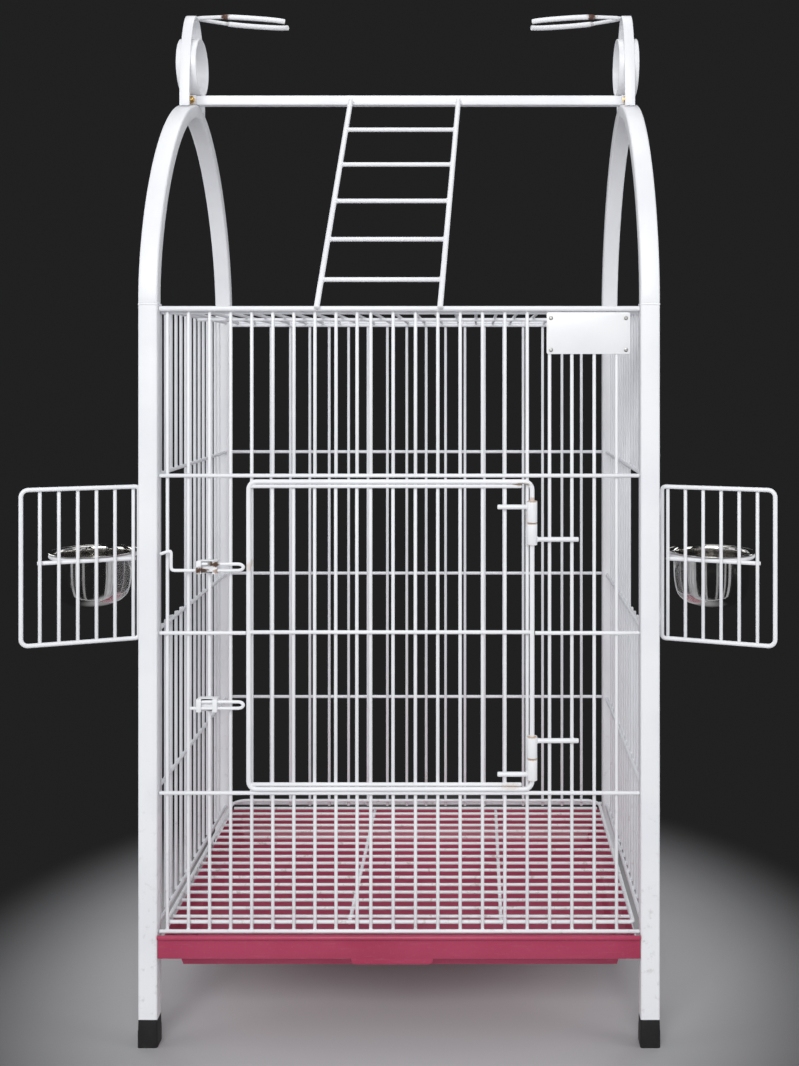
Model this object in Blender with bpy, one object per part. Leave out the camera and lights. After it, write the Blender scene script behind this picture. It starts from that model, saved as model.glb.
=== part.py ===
"""Parrot cage: wire panels on a square-tube stand, with a main door, two swing-out feeders and a perch on top.

Metres, +Z up, front towards -Y. The origin lies on the floor under the middle of the whole outline.
"""
import math

import bmesh
import bpy
from mathutils import Matrix, Vector

# Clearances
GAP = 0.0003                    # between pieces that touch
WELD = 0.0005                   # how far crossing wires sink into each other
RUNNING_GAP = 0.0004            # round a wire that slides or turns

# Stand: four posts of square tube and two bent arches
STAND_WIDTH = 0.600
STAND_DEPTH = 0.420
TUBE = 0.025
TUBE_WALL = 0.0012
TUBE_CORNER = 0.0022
POST_ABOVE = 0.004              # the posts' height over the panels' top rails
FOOT_HEIGHT = 0.020
FOOT_SPREAD = 0.0015            # how far the foot cap stands out of the post at the floor
FOOT_PLUG = 0.012
ARCH_RISE = 0.2755              # from the post's top to the arch's outer face at its crown
ARCH_POWER = 1.7                # 2 is an ellipse, less is more pointed
ARCH_STEPS = 14
ARCH_STRAIGHT = 0.012           # upright length above each post

# Perch bar across the two arches
BAR_SIZE = 0.0127
BAR_WALL = 0.0012
BAR_OVERHANG = 0.005            # past the middle plane of each arch
LUG_THICKNESS = 0.003
LUG_WIDTH = 0.014
SCREW_RADIUS = 0.0019
SCREW_HEAD_RADIUS = 0.0044
SCREW_HEAD_HEIGHT = 0.0026

# Ladder between the perch bar and the front top rail
LADDER_RAIL = 0.00325
LADDER_RUNG = 0.00275
LADDER_WIDTH = 0.142
LADDER_TOP_X = -0.0053
LADDER_FOOT_X = -0.0238
LADDER_PAST = 0.004             # the rails' ends past the panel's top rail
LADDER_RUNGS = 5
LADDER_FIRST = 0.163            # share of the rail's length from the top
LADDER_STEP = 0.179

# Hoop on each arch, with a wide strip ring inside and a two-tined cup fork
HOOP_HALF_DEPTH = 0.043
HOOP_HEIGHT = 0.119
HOOP_WIDTH = 0.013
HOOP_STRIP = 0.003
EYE_WIDTH = 0.026
EYE_STRIP = 0.002
EYE_WELD = 0.0006               # how far the ring's strip sinks into the hoop's
EYE_SIDES = 20
FORK_REACH = 0.115
FORK_DROOP = 0.008
FORK_NECK = 0.034
FORK_SPREAD = 0.019             # half the distance between the tines
FORK_NECK_RADIUS = 0.0024
FORK_TINE_RADIUS = 0.00325

# Wires
SIDES = 6                       # of the wires in front
PLAIN_SIDES = 4                 # of the many wires behind, above and below
BAR_RADIUS = 0.0020
RAIL_RADIUS = 0.00225
TOP_RAIL_RADIUS = 0.0030
BOTTOM_Z = 0.130
LOWER_Z = 0.290
MIDDLE_Z = 0.475
UPPER_Z = 0.657
TOP_Z = 0.850
BAR_END = 0.0022                # a bar's end past its last rail

# Front panel: two groups of bars, with the doorway across both
LEFT_GROUP_MARGIN = 0.0058      # from the posts' inner faces to the first bar
LEFT_GROUP_PITCH = 0.02443
RIGHT_GROUP_MARGIN = 0.0235
RIGHT_GROUP_PITCH = 0.02590
GROUPS_MEET_X = -0.04135
GROUPS_APART = 0.003            # least distance from that line to either group's last bar
JAMB = 4                        # bars between the post and the doorway's edge bar

# Back, side, roof and floor grilles
BACK_MARGIN = 0.020             # least distance from the posts' inner faces to the first bar
BACK_PITCH = 0.0290
SIDE_BARS = 14
FEEDER_BARS_CUT = 5
ROOF_BARS = 22
ROOF_MARGIN = 0.015             # from the side panels' bars to the first roof bar
ROOF_DROP = 0.004               # the roof's rails below the panels' top rails
ROOF_RAILS = 3
GRATE_BARS = 19
GRATE_SIDE_GAP = 0.0035         # from the posts' inner faces to the frame's wire
GRATE_ABOVE = 0.0072            # the frame's wire over the panels' bottom rails
GRATE_CORNER = 0.020
GRATE_FRONT_CORNER = 0.004
GRATE_SPINE_LEFT = -0.060
GRATE_SPINE_RIGHT = 0.118

# Tray and its runners
TRAY_RIM_Z = 0.1255
TRAY_LEDGE_Z = 0.1026
TRAY_BASE_Z = 0.0895
TRAY_SHEET = 0.0012
TRAY_LEDGE = 0.015
TRAY_DRAFT = 0.004
TRAY_SIDE_GAP = 0.003
TRAY_BACK_GAP = 0.006
LIP_TOP = 0.1295
LIP_BOTTOM = 0.1040
LIP_PULL_BOTTOM = 0.0955
LIP_PULL_LEFT = -0.050
LIP_PULL_RIGHT = 0.034
LIP_BEAD = 0.0026
LIP_SHEET = 0.0015
RUNNER_SHEET = 0.0015
RUNNER_WIDTH = 0.0135
RUNNER_HEIGHT = 0.011

# Main door
DOOR_FRAME_RADIUS = 0.00275
DOOR_BELOW = 0.0067             # the frame's top wire under the panel's rail over the doorway
DOOR_ABOVE = 0.0056             # the frame's bottom wire over the panel's rail under the doorway
DOOR_CORNER = 0.009
DOOR_OVERLAP = 0.0022           # past the doorway's left edge bar
DOOR_SIDE_GAP = 0.0008          # to the panel's middle rail
DOOR_INNER_RAIL = 0.0053        # below the frame's top wire and above its bottom wire
DOOR_MIDDLE_ABOVE = 0.0015      # the door's middle rail over the panel's
HINGE_OFFSET = 0.0053           # hinge axis beyond the doorway's right edge bar
HINGE_FORWARD = 0.0070          # hinge axis in front of the bars
KNUCKLE_RADIUS = 0.0060
KNUCKLE_LENGTH = 0.0250
KNUCKLE_GAP = 0.0008
UPPER_HINGE_DOWN = 0.0475       # from the door's top wire to the joint between the two knuckles
LOWER_HINGE_UP = 0.0359         # the same from its bottom wire
KNUCKLE_SIDES = 10
HINGE_ARM_RADIUS = 0.0028
DOOR_ARM_REACH = 0.040
PANEL_ARM_REACH = 0.054

# Sliding latches, drawn back at rest
LATCH_RADIUS = 0.0019
LATCH_HALF_HEIGHT = 0.0037
UPPER_LATCH_ABOVE = 0.0774      # over the panel's middle rail
LOWER_LATCH_BELOW = 0.0810      # under it
LATCH_SHORT = 0.0006            # from the nose to the door's edge when drawn back
UPPER_LATCH_LENGTH = 0.079
LOWER_LATCH_LENGTH = 0.061
LATCH_RETURN = 0.048
LATCH_GRIP_RISE = 0.023
LATCH_GRIP_REACH = 0.012
GUIDE_WALL = 0.0015
GUIDE_LENGTH = 0.024
GUIDE_WINDOW = 0.013
GUIDE_SETBACK = 0.043           # from the latch's nose, to whichever bar is nearest

# Feeder doors, open at rest
FEEDER_OPEN = math.radians(110)
FEEDER_SETBACK = 0.0060         # hinge axis behind the post's back face
FEEDER_REACH = 0.137
FEEDER_BELOW = 0.0100           # the door's bottom wire under the side panel's middle rail
FEEDER_SHORT = 0.0145           # its top wire under the rail over the opening
FEEDER_FRAME_RADIUS = 0.0025
FEEDER_CORNER = 0.008
FEEDER_HEEL_CORNER = 0.004
FEEDER_PITCH = 0.0206           # of its bars, counted from the wire at the free end
FEEDER_MARGIN = 0.004           # least distance from the heel wire to the nearest bar
PIN_RADIUS = 0.0021
BARREL_RADIUS = 0.0047
BARREL_LENGTH = 0.020
BARREL_INSET = 0.014            # from the door's top and bottom wires
LUG_HEIGHT = 0.003
PIN_LUG_RADIUS = 0.0033
PIN_LUG_WIDTH = 0.010

# Feeder cups in their rings
RING_RADIUS = 0.0490
RING_WIRE = 0.0025
RING_ABOVE = 0.0920             # over the door's bottom wire
RING_ALONG = 0.056              # ring centre along the door from the hinge axis
RING_BAR_END = 0.0030           # past the door's first and last bars
CUP_RIM_RADIUS = 0.0520
CUP_BODY_RADIUS = 0.0455
CUP_FOOT_RADIUS = 0.0200
CUP_DEPTH = 0.0640
CUP_SHEET = 0.0010

POWDER_COAT = ("powder_coat", (0.84, 0.85, 0.87), 0.38, 0.0)
RUBBER = ("black_rubber", (0.02, 0.02, 0.02), 0.75, 0.0)
TRAY_ENAMEL = ("crimson_tray", (0.42, 0.045, 0.105), 0.42, 0.0)
STEEL = ("polished_steel", (0.72, 0.70, 0.68), 0.16, 1.0)
BRASS = ("brass", (0.62, 0.42, 0.16), 0.40, 1.0)

X = Vector((1, 0, 0))
Y = Vector((0, 1, 0))
Z = Vector((0, 0, 1))

FRONT = -STAND_DEPTH / 2
POST_X = (STAND_WIDTH - TUBE) / 2
POST_Y = (STAND_DEPTH - TUBE) / 2
POST_TOP = TOP_Z + POST_ABOVE
ARCH_TOP = POST_TOP + ARCH_RISE
RAIL_OFFSET = BAR_RADIUS + RAIL_RADIUS - WELD
LEFT_GROUP_X = TUBE + LEFT_GROUP_MARGIN - STAND_WIDTH / 2
RIGHT_GROUP_X = STAND_WIDTH / 2 - TUBE - RIGHT_GROUP_MARGIN
LEFT_GROUP_BARS = 1 + int((GROUPS_MEET_X - GROUPS_APART - LEFT_GROUP_X) / LEFT_GROUP_PITCH)
RIGHT_GROUP_BARS = 1 + int((RIGHT_GROUP_X - GROUPS_MEET_X - GROUPS_APART) / RIGHT_GROUP_PITCH)
BACK_BARS = 1 + int((STAND_WIDTH - 2 * TUBE - 2 * BACK_MARGIN) / BACK_PITCH)
ROOF_Z = TOP_Z - ROOF_DROP
GRATE_HALF_WIDTH = STAND_WIDTH / 2 - TUBE - GRATE_SIDE_GAP
GRATE_FRAME_Z = BOTTOM_Z + GRATE_ABOVE
DOOR_TOP = UPPER_Z - DOOR_BELOW
DOOR_BOTTOM = LOWER_Z + DOOR_ABOVE
DOOR_MIDDLE_Z = MIDDLE_Z + DOOR_MIDDLE_ABOVE
UPPER_HINGE_Z = DOOR_TOP - UPPER_HINGE_DOWN
LOWER_HINGE_Z = DOOR_BOTTOM + LOWER_HINGE_UP
UPPER_LATCH_Z = MIDDLE_Z + UPPER_LATCH_ABOVE
LOWER_LATCH_Z = MIDDLE_Z - LOWER_LATCH_BELOW
FEEDER_X = STAND_WIDTH / 2      # hinge axis, in the plane of the posts' outer faces
FEEDER_Y = FRONT + TUBE + FEEDER_SETBACK
FEEDER_BOTTOM = MIDDLE_Z - FEEDER_BELOW
FEEDER_TOP = UPPER_Z - FEEDER_SHORT
RING_Z = FEEDER_BOTTOM + RING_ABOVE
FEEDER_HEEL = BARREL_RADIUS * math.cos(math.pi / KNUCKLE_SIDES) + GAP + FEEDER_FRAME_RADIUS
FEEDER_INNER_BARS = int((FEEDER_REACH - FEEDER_HEEL - FEEDER_MARGIN) / FEEDER_PITCH)


# Scene and mesh helpers

def clear_scene():
    for obj in list(bpy.data.objects):
        bpy.data.objects.remove(obj, do_unlink=True)


def material(finish):
    name, colour, roughness, metallic = finish
    found = bpy.data.materials.get(name)
    if found:
        return found
    made = bpy.data.materials.new(name)
    made.use_nodes = True
    shader = made.node_tree.nodes["Principled BSDF"]
    shader.inputs["Base Color"].default_value = (*colour, 1)
    shader.inputs["Roughness"].default_value = roughness
    shader.inputs["Metallic"].default_value = metallic
    made.diffuse_color = (*colour, 1)
    return made


def empty(name, place, turn=0.0, parent=None):
    made = bpy.data.objects.new(name, None)
    made.empty_display_size = 0.03
    made.parent = parent
    made.location = place
    made.rotation_euler.z = turn
    bpy.context.scene.collection.objects.link(made)
    return made


def piece(name, bm, finish, parent, origin=(0, 0, 0), smooth=35):
    """Turns a bmesh drawn in its parent's frame into an object whose origin is at origin."""
    bmesh.ops.recalc_face_normals(bm, faces=bm.faces)
    bmesh.ops.translate(bm, verts=bm.verts, vec=-Vector(origin))
    mesh = bpy.data.meshes.new(name)
    bm.to_mesh(mesh)
    bm.free()
    mesh.shade_smooth()
    mesh.set_sharp_from_angle(angle=math.radians(smooth))
    mesh.materials.append(material(finish))
    made = bpy.data.objects.new(name, mesh)
    made.parent = parent
    made.location = origin
    bpy.context.scene.collection.objects.link(made)
    return made


def combined(base, other, operation="UNION"):
    """The exact Boolean of two bmeshes, as a new bmesh."""
    pair = []
    for bm in (base, other):
        bmesh.ops.recalc_face_normals(bm, faces=bm.faces)
        mesh = bpy.data.meshes.new("operand")
        bm.to_mesh(mesh)
        bm.free()
        pair.append(bpy.data.objects.new("operand", mesh))
        bpy.context.scene.collection.objects.link(pair[-1])
    boolean = pair[0].modifiers.new("join", "BOOLEAN")
    boolean.solver = "EXACT"
    boolean.operation = operation
    boolean.object = pair[1]
    graph = bpy.context.evaluated_depsgraph_get()
    result = bmesh.new()
    result.from_object(pair[0], graph)
    for obj in pair:
        mesh = obj.data
        bpy.data.objects.remove(obj, do_unlink=True)
        bpy.data.meshes.remove(mesh)
    return result


def skin(bm, loops, closed=False, caps=True):
    """Joins loops of points with quads, into a closed tube or one with an n-gon at each end."""
    rings = [[bm.verts.new(point) for point in loop] for loop in loops]
    pairs = list(zip(rings, rings[1:]))
    if closed:
        pairs.append((rings[-1], rings[0]))
    for low, high in pairs:
        for i in range(len(low)):
            j = (i + 1) % len(low)
            bm.faces.new((low[i], low[j], high[j], high[i]))
    if caps and not closed:
        bm.faces.new(rings[0][::-1])
        bm.faces.new(rings[-1])


def sections(path, outline, normal, closed=False):
    """Copies of an outline square to a flat path. normal is the path's plane normal."""
    loops = []
    count = len(path)
    for i, point in enumerate(path):
        before = path[i - 1] if closed or i > 0 else None
        after = path[(i + 1) % count] if closed or i < count - 1 else None
        ahead = (after - point).normalized() if after is not None else (point - before).normalized()
        behind = (point - before).normalized() if before is not None else ahead
        along = (ahead + behind).normalized()
        across = along.cross(normal).normalized()
        stretch = 1 / max(along.dot(ahead), 0.5)
        loops.append([point + normal * u + across * (v * stretch) for u, v in outline])
    return loops


def circle(radius, sides=SIDES):
    """An outline with a ridge along the plane normal, where crossing wires meet."""
    return [
        (radius * math.cos(2 * math.pi * i / sides), radius * math.sin(2 * math.pi * i / sides))
        for i in range(sides)
    ]


def wire(bm, start, end, radius, toward, sides=SIDES):
    start, end = Vector(start), Vector(end)
    skin(bm, sections([start, end], circle(radius, sides), toward))


def bent_wire(bm, path, radius, normal, closed=False, sides=SIDES):
    skin(bm, sections([Vector(p) for p in path], circle(radius, sides), normal, closed), closed)


def chamfered(half, corner):
    inner = half - corner
    return [
        (half, -inner), (half, inner), (inner, half), (-inner, half),
        (-half, inner), (-half, -inner), (-inner, -half), (inner, -half),
    ]


def square_tube(bm, path, size, wall, corner, normal):
    """A hollow tube with open ends along a flat path."""
    outside = sections(path, chamfered(size / 2, corner), normal)
    inside = sections(path, chamfered(size / 2 - wall, corner * 0.6), normal)
    skin(bm, outside + inside[::-1], closed=True)


def box(bm, low, high):
    low, high = Vector(low), Vector(high)
    corners = [(low.x, low.y), (high.x, low.y), (high.x, high.y), (low.x, high.y)]
    skin(bm, [[Vector((x, y, z)) for x, y in corners] for z in (low.z, high.z)])


def sleeve(bm, centre, outer, inner, low, high, sides):
    """A vertical tube with open ends."""
    loops = []
    for radius, z in ((outer, low), (outer, high), (inner, high), (inner, low)):
        loops.append([
            Vector((centre[0] + radius * math.cos(2 * math.pi * i / sides),
                    centre[1] + radius * math.sin(2 * math.pi * i / sides), z))
            for i in range(sides)
        ])
    skin(bm, loops, closed=True)


def corner_arc(centre, radius, first, steps=3):
    """Points of a quarter turn, in the two coordinates of the caller's plane."""
    return [
        (centre[0] + radius * math.cos(first + math.pi / 2 * i / steps),
         centre[1] + radius * math.sin(first + math.pi / 2 * i / steps))
        for i in range(steps + 1)
    ]


def rounded_rectangle(low, high, radii, steps=3):
    """Corner radii run from the upper right, anticlockwise."""
    corners = [(high[0], high[1], -1, -1), (low[0], high[1], 1, -1), (low[0], low[1], 1, 1), (high[0], low[1], -1, 1)]
    points = []
    for i, (u, v, du, dv) in enumerate(corners):
        r = radii[i]
        points += corner_arc((u + du * r, v + dv * r), r, i * math.pi / 2, steps)
    return points


def superellipse(half_width, height, power, steps):
    """Half an arch from one foot over the crown to the other, as (across, up)."""
    points = []
    for i in range(steps + 1):
        t = math.pi * i / steps
        u, v = math.cos(t), math.sin(t)
        points.append((-math.copysign(abs(u) ** (2 / power), u) * half_width, abs(v) ** (2 / power) * height))
    return points


# Stand

def posts(cage):
    for end, sy in (("front", -1), ("back", 1)):
        for side, sx in (("left", -1), ("right", 1)):
            place = Vector((sx * POST_X, sy * POST_Y, 0))
            bm = bmesh.new()
            path = [place + Z * (FOOT_HEIGHT + GAP), place + Z * POST_TOP]
            square_tube(bm, path, TUBE, TUBE_WALL, TUBE_CORNER, X)
            piece(f"post_{end}_{side}", bm, POWDER_COAT, cage)
            foot_cap(f"foot_cap_{end}_{side}", place, cage)


def foot_cap(name, place, cage):
    half = TUBE / 2
    plug = half - TUBE_WALL - GAP
    profile = [
        (half + FOOT_SPREAD * 0.7, 0), (half + FOOT_SPREAD, FOOT_HEIGHT * 0.15),
        (half + FOOT_SPREAD * 0.2, FOOT_HEIGHT), (plug, FOOT_HEIGHT), (plug, FOOT_HEIGHT + FOOT_PLUG),
    ]
    loops = [
        [place + Vector((u, v, z)) for u, v in chamfered(reach, TUBE_CORNER)]
        for reach, z in profile
    ]
    bm = bmesh.new()
    skin(bm, loops)
    piece(name, bm, RUBBER, cage)


def arch_curve():
    foot = POST_TOP + GAP
    rise = ARCH_TOP - TUBE / 2 - foot - ARCH_STRAIGHT
    curve = superellipse(POST_Y, rise, ARCH_POWER, ARCH_STEPS)
    return [(-POST_Y, foot)] + [(y, foot + ARCH_STRAIGHT + z) for y, z in curve] + [(POST_Y, foot)]


def arch_top_at(y):
    """The height of the arch's outer face at a distance from the crown."""
    outer = sections([Vector((0, *point)) for point in arch_curve()], [(0, TUBE / 2), (0, -TUBE / 2)], X)
    faces = [max(loop, key=lambda point: point.z) for loop in outer]
    for first, second in zip(faces, faces[1:]):
        if first.y <= y <= second.y:
            return first.lerp(second, (y - first.y) / (second.y - first.y)).z
    return ARCH_TOP


def arches(cage):
    for side, sx in (("left", -1), ("right", 1)):
        path = [Vector((sx * POST_X, *point)) for point in arch_curve()]
        bm = bmesh.new()
        square_tube(bm, path, TUBE, TUBE_WALL, TUBE_CORNER, X)
        piece(f"arch_{side}", bm, POWDER_COAT, cage)


# Perch bar, its lugs and screws

BAR_Z = ARCH_TOP + GAP + BAR_SIZE / 2


def perch_bar(cage):
    end = POST_X + BAR_OVERHANG
    bm = bmesh.new()
    path = [Vector((-end, 0, BAR_Z)), Vector((end, 0, BAR_Z))]
    square_tube(bm, path, BAR_SIZE, BAR_WALL, BAR_WALL, Y)
    holes = bmesh.new()
    for sx in (-1, 1):
        start = Vector((sx * POST_X, -BAR_SIZE, BAR_Z))
        wire(holes, start, start + Y * BAR_SIZE, SCREW_RADIUS + GAP, Z, 8)
    piece("perch_bar", combined(bm, holes, "DIFFERENCE"), POWDER_COAT, cage)
    for side, sx in (("left", -1), ("right", 1)):
        bar_lug(f"bar_lug_{side}", sx * POST_X, cage)
        bar_screw(f"bar_screw_{side}", sx * POST_X, cage)


def bar_lug(name, x, cage):
    back = -BAR_SIZE / 2 - GAP
    top = BAR_Z + BAR_SIZE / 2
    bm = bmesh.new()
    box(bm, (x - LUG_WIDTH / 2, back - LUG_THICKNESS, ARCH_TOP + GAP), (x + LUG_WIDTH / 2, back, top))
    hole = bmesh.new()
    start = Vector((x, back - 2 * LUG_THICKNESS, BAR_Z))
    wire(hole, start, start + Y * 3 * LUG_THICKNESS, SCREW_RADIUS + GAP, Z, 8)
    piece(name, combined(bm, hole, "DIFFERENCE"), POWDER_COAT, cage)


def bar_screw(name, x, cage):
    seat = -BAR_SIZE / 2 - LUG_THICKNESS - 2 * GAP
    profile = [
        (SCREW_HEAD_RADIUS * 0.6, seat - SCREW_HEAD_HEIGHT), (SCREW_HEAD_RADIUS, seat - SCREW_HEAD_HEIGHT * 0.5),
        (SCREW_HEAD_RADIUS, seat), (SCREW_RADIUS, seat), (SCREW_RADIUS, -BAR_SIZE / 2 + 2 * BAR_WALL),
    ]
    bm = bmesh.new()
    skin(bm, [[Vector((x + u, y, BAR_Z + v)) for u, v in circle(r, 8)] for r, y in profile])
    piece(name, bm, BRASS, cage)


def ladder(cage):
    """Two rails with rungs, leaning from the bar's front face on to the front top rail."""
    top = Vector((0, -BAR_SIZE / 2 - GAP - LADDER_RAIL, BAR_Z))
    seat = Vector((0, rail_plane(FRONT + TUBE / 2, -1, TOP_RAIL_RADIUS), TOP_Z))
    lean = (seat - top).normalized()
    foot = seat + lean.cross(X) * (TOP_RAIL_RADIUS + LADDER_RAIL + GAP)
    foot += lean * LADDER_PAST
    half = X * (LADDER_WIDTH / 2)
    top.x, foot.x = LADDER_TOP_X, LADDER_FOOT_X
    facing = (foot - top).cross(X).normalized()
    rails, rungs = bmesh.new(), bmesh.new()
    for side in (-1, 1):
        wire(rails, top + side * half, foot + side * half, LADDER_RAIL, facing, 8)
    for i in range(LADDER_RUNGS):
        middle = top.lerp(foot, LADDER_FIRST + i * LADDER_STEP)
        wire(rungs, middle - half, middle + half, LADDER_RUNG, facing)
    piece("ladder", combined(rails, rungs), POWDER_COAT, cage)


# Hoops and cup forks

HOOP_TOP = ARCH_TOP + GAP + HOOP_HEIGHT


def hoops(cage):
    for side, sx in (("left", -1), ("right", 1)):
        hoop(f"hoop_{side}", sx * POST_X, cage)
        cup_fork(f"cup_fork_{side}", sx, cage)


def hoop_inside(z):
    """Half the hoop's inner depth at a height above its foot."""
    share = min(z / (HOOP_HEIGHT - HOOP_STRIP / 2), 1)
    return HOOP_HALF_DEPTH * math.sqrt(1 - share * share) - HOOP_STRIP / 2


def eye_radius():
    """The ring that stands on the perch bar and just reaches the hoop's limbs."""
    seat = BAR_SIZE + GAP
    low, high = EYE_STRIP * 2, HOOP_HALF_DEPTH
    for _ in range(30):
        radius = (low + high) / 2
        turns = [math.radians(3 * i) for i in range(30)]
        room = min(hoop_inside(seat + radius + radius * math.sin(t)) - radius * math.cos(t) for t in turns)
        low, high = (radius, high) if room > -EYE_WELD else (low, radius)
    return radius


def hoop(name, x, cage):
    foot = ARCH_TOP + GAP
    curve = superellipse(HOOP_HALF_DEPTH, HOOP_HEIGHT - HOOP_STRIP / 2, 2.0, 16)
    seat = arch_top_at(HOOP_HALF_DEPTH - HOOP_STRIP) + GAP - foot
    curve = [(curve[0][0], seat)] + curve + [(curve[-1][0], seat)]
    strip = [(-HOOP_WIDTH / 2, -HOOP_STRIP / 2), (HOOP_WIDTH / 2, -HOOP_STRIP / 2),
             (HOOP_WIDTH / 2, HOOP_STRIP / 2), (-HOOP_WIDTH / 2, HOOP_STRIP / 2)]
    bm = bmesh.new()
    skin(bm, sections([Vector((x, y, foot + z)) for y, z in curve], strip, X))
    eye = bmesh.new()
    radius = eye_radius()
    centre = foot + BAR_SIZE + GAP + radius
    loops = []
    for r, side in ((radius, -1), (radius, 1), (radius - EYE_STRIP, 1), (radius - EYE_STRIP, -1)):
        turns = [2 * math.pi * i / EYE_SIDES for i in range(EYE_SIDES)]
        loops.append([
            Vector((x + side * EYE_WIDTH / 2, r * math.cos(t), centre + r * math.sin(t))) for t in turns
        ])
    skin(eye, loops, closed=True)
    piece(name, combined(bm, eye), POWDER_COAT, cage)


def cup_fork(name, sx, cage):
    """One bent wire, thin where it turns at the hoop and thicker along its two tines, which close in at the ends."""
    root = POST_X - HOOP_WIDTH / 2 - GAP - FORK_NECK_RADIUS
    z = HOOP_TOP - FORK_TINE_RADIUS
    fall = FORK_DROOP / FORK_REACH
    neck = FORK_NECK / FORK_REACH
    half = [
        (0.0, 0.08), (0.02, 0.22), (0.07, 0.34), (neck, 0.82), (neck + 0.02, 0.86),
        (0.47, 0.97), (0.62, 1.0), (0.80, 0.97), (0.93, 0.88), (1.0, 0.72),
    ]
    chain = []
    for mirror in (-1, 1):
        tine = [
            (Vector((sx * (root - along * FORK_REACH), mirror * FORK_SPREAD * spread, z - along * FORK_DROOP)),
             FORK_TINE_RADIUS if along > neck else FORK_NECK_RADIUS)
            for along, spread in half
        ]
        chain += tine[::-1] if mirror < 0 else tine
    flat = Vector((-sx * fall, 0, 1)).normalized()
    loops = [
        [centre + (corner - centre) * radius for corner in loop]
        for (centre, radius), loop in zip(chain, sections([point for point, _ in chain], circle(1.0, 8), flat))
    ]
    bm = bmesh.new()
    skin(bm, loops)
    piece(name, bm, POWDER_COAT, cage)


# Wire panels

def rail_plane(bars, side, radius=RAIL_RADIUS):
    """Where a rail's centre lies when it is welded across the bars on one side."""
    return bars + side * (BAR_RADIUS + radius - WELD)


def front_bar_places():
    left = [LEFT_GROUP_X + i * LEFT_GROUP_PITCH for i in range(LEFT_GROUP_BARS)]
    right = [RIGHT_GROUP_X - i * RIGHT_GROUP_PITCH for i in range(RIGHT_GROUP_BARS)]
    return left, right[::-1]


def doorway_bars():
    """The bars that the doorway cuts, and its two edge bars."""
    left, right = front_bar_places()
    return left[JAMB + 1:] + right[:-JAMB - 1], left[JAMB], right[-JAMB - 1]


def front_grid(name, places, low, high, rails, cage):
    """Upright bars with rails welded across their fronts."""
    y = FRONT + TUBE / 2
    bars, across = bmesh.new(), bmesh.new()
    for x in places:
        wire(bars, (x, y, low - BAR_END), (x, y, high + BAR_END), BAR_RADIUS, Y)
    for z, start, end in rails:
        radius = TOP_RAIL_RADIUS if z == TOP_Z else RAIL_RADIUS
        rail_y = rail_plane(y, -1, radius)
        wire(across, (start, rail_y, z), (end, rail_y, z), radius, Y)
    piece(name, combined(bars, across), POWDER_COAT, cage)


def front_panel(cage):
    """Four grids round the doorway, whose rails meet end to end at the doorway's edge bars."""
    left, right = front_bar_places()
    cut, door_left, door_right = doorway_bars()
    inner = STAND_WIDTH / 2 - TUBE - GAP
    seams = (door_left + BAR_END, door_right - BAR_END)
    room = DOOR_FRAME_RADIUS + DOOR_SIDE_GAP
    stubs = (door_left - DOOR_OVERLAP - room, door_right + HINGE_OFFSET + room)
    levels = (BOTTOM_Z, LOWER_Z, UPPER_Z, TOP_Z)
    rails = [(z, -inner, seams[0]) for z in levels] + [(MIDDLE_Z, -inner, stubs[0])]
    front_grid("front_jamb_left", left[:JAMB + 1], BOTTOM_Z, TOP_Z, rails, cage)
    rails = [(z, seams[1], inner) for z in levels] + [(MIDDLE_Z, stubs[1], inner)]
    front_grid("front_jamb_right", right[-JAMB - 1:], BOTTOM_Z, TOP_Z, rails, cage)
    start, end = seams[0] + GAP, seams[1] - GAP
    for name, low, high in (("lower", BOTTOM_Z, LOWER_Z), ("upper", UPPER_Z, TOP_Z)):
        front_grid(f"front_grid_{name}", cut, low, high, [(low, start, end), (high, start, end)], cage)


def back_panel(cage):
    y = -FRONT - TUBE / 2
    rail_y = rail_plane(y, 1)
    inner = STAND_WIDTH / 2 - TUBE - GAP
    bars, rails = bmesh.new(), bmesh.new()
    for i in range(BACK_BARS):
        x = (i - (BACK_BARS - 1) / 2) * BACK_PITCH
        wire(bars, (x, y, BOTTOM_Z - BAR_END), (x, y, TOP_Z + BAR_END), BAR_RADIUS, Y, PLAIN_SIDES)
    for z in (BOTTOM_Z, LOWER_Z, MIDDLE_Z, UPPER_Z, TOP_Z):
        wire(rails, (-inner, rail_y, z), (inner, rail_y, z), RAIL_RADIUS, Y, PLAIN_SIDES)
    piece("back_panel", combined(bars, rails), POWDER_COAT, cage)


def side_bar_y(i):
    """The places of a side panel's bars, counted from the front post."""
    clear = STAND_DEPTH - 2 * TUBE
    return FRONT + TUBE + clear * (i + 1) / (SIDE_BARS + 1)


def side_panels(cage):
    inner = STAND_DEPTH / 2 - TUBE - GAP
    for side, sx in (("left", -1), ("right", 1)):
        x = sx * POST_X
        rail_x = rail_plane(x, -sx)
        bars, rails = bmesh.new(), bmesh.new()
        for i in range(SIDE_BARS):
            spans = [(BOTTOM_Z, TOP_Z)]
            if i < FEEDER_BARS_CUT:
                spans = [(BOTTOM_Z, MIDDLE_Z), (UPPER_Z, TOP_Z)]
            y = side_bar_y(i)
            for low, high in spans:
                wire(bars, (x, y, low - BAR_END), (x, y, high + BAR_END), BAR_RADIUS, X, PLAIN_SIDES)
        for z in (BOTTOM_Z, LOWER_Z, MIDDLE_Z, UPPER_Z, TOP_Z):
            wire(rails, (rail_x, -inner, z), (rail_x, inner, z), RAIL_RADIUS, X, PLAIN_SIDES)
        piece(f"side_panel_{side}", combined(bars, rails), POWDER_COAT, cage)


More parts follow.
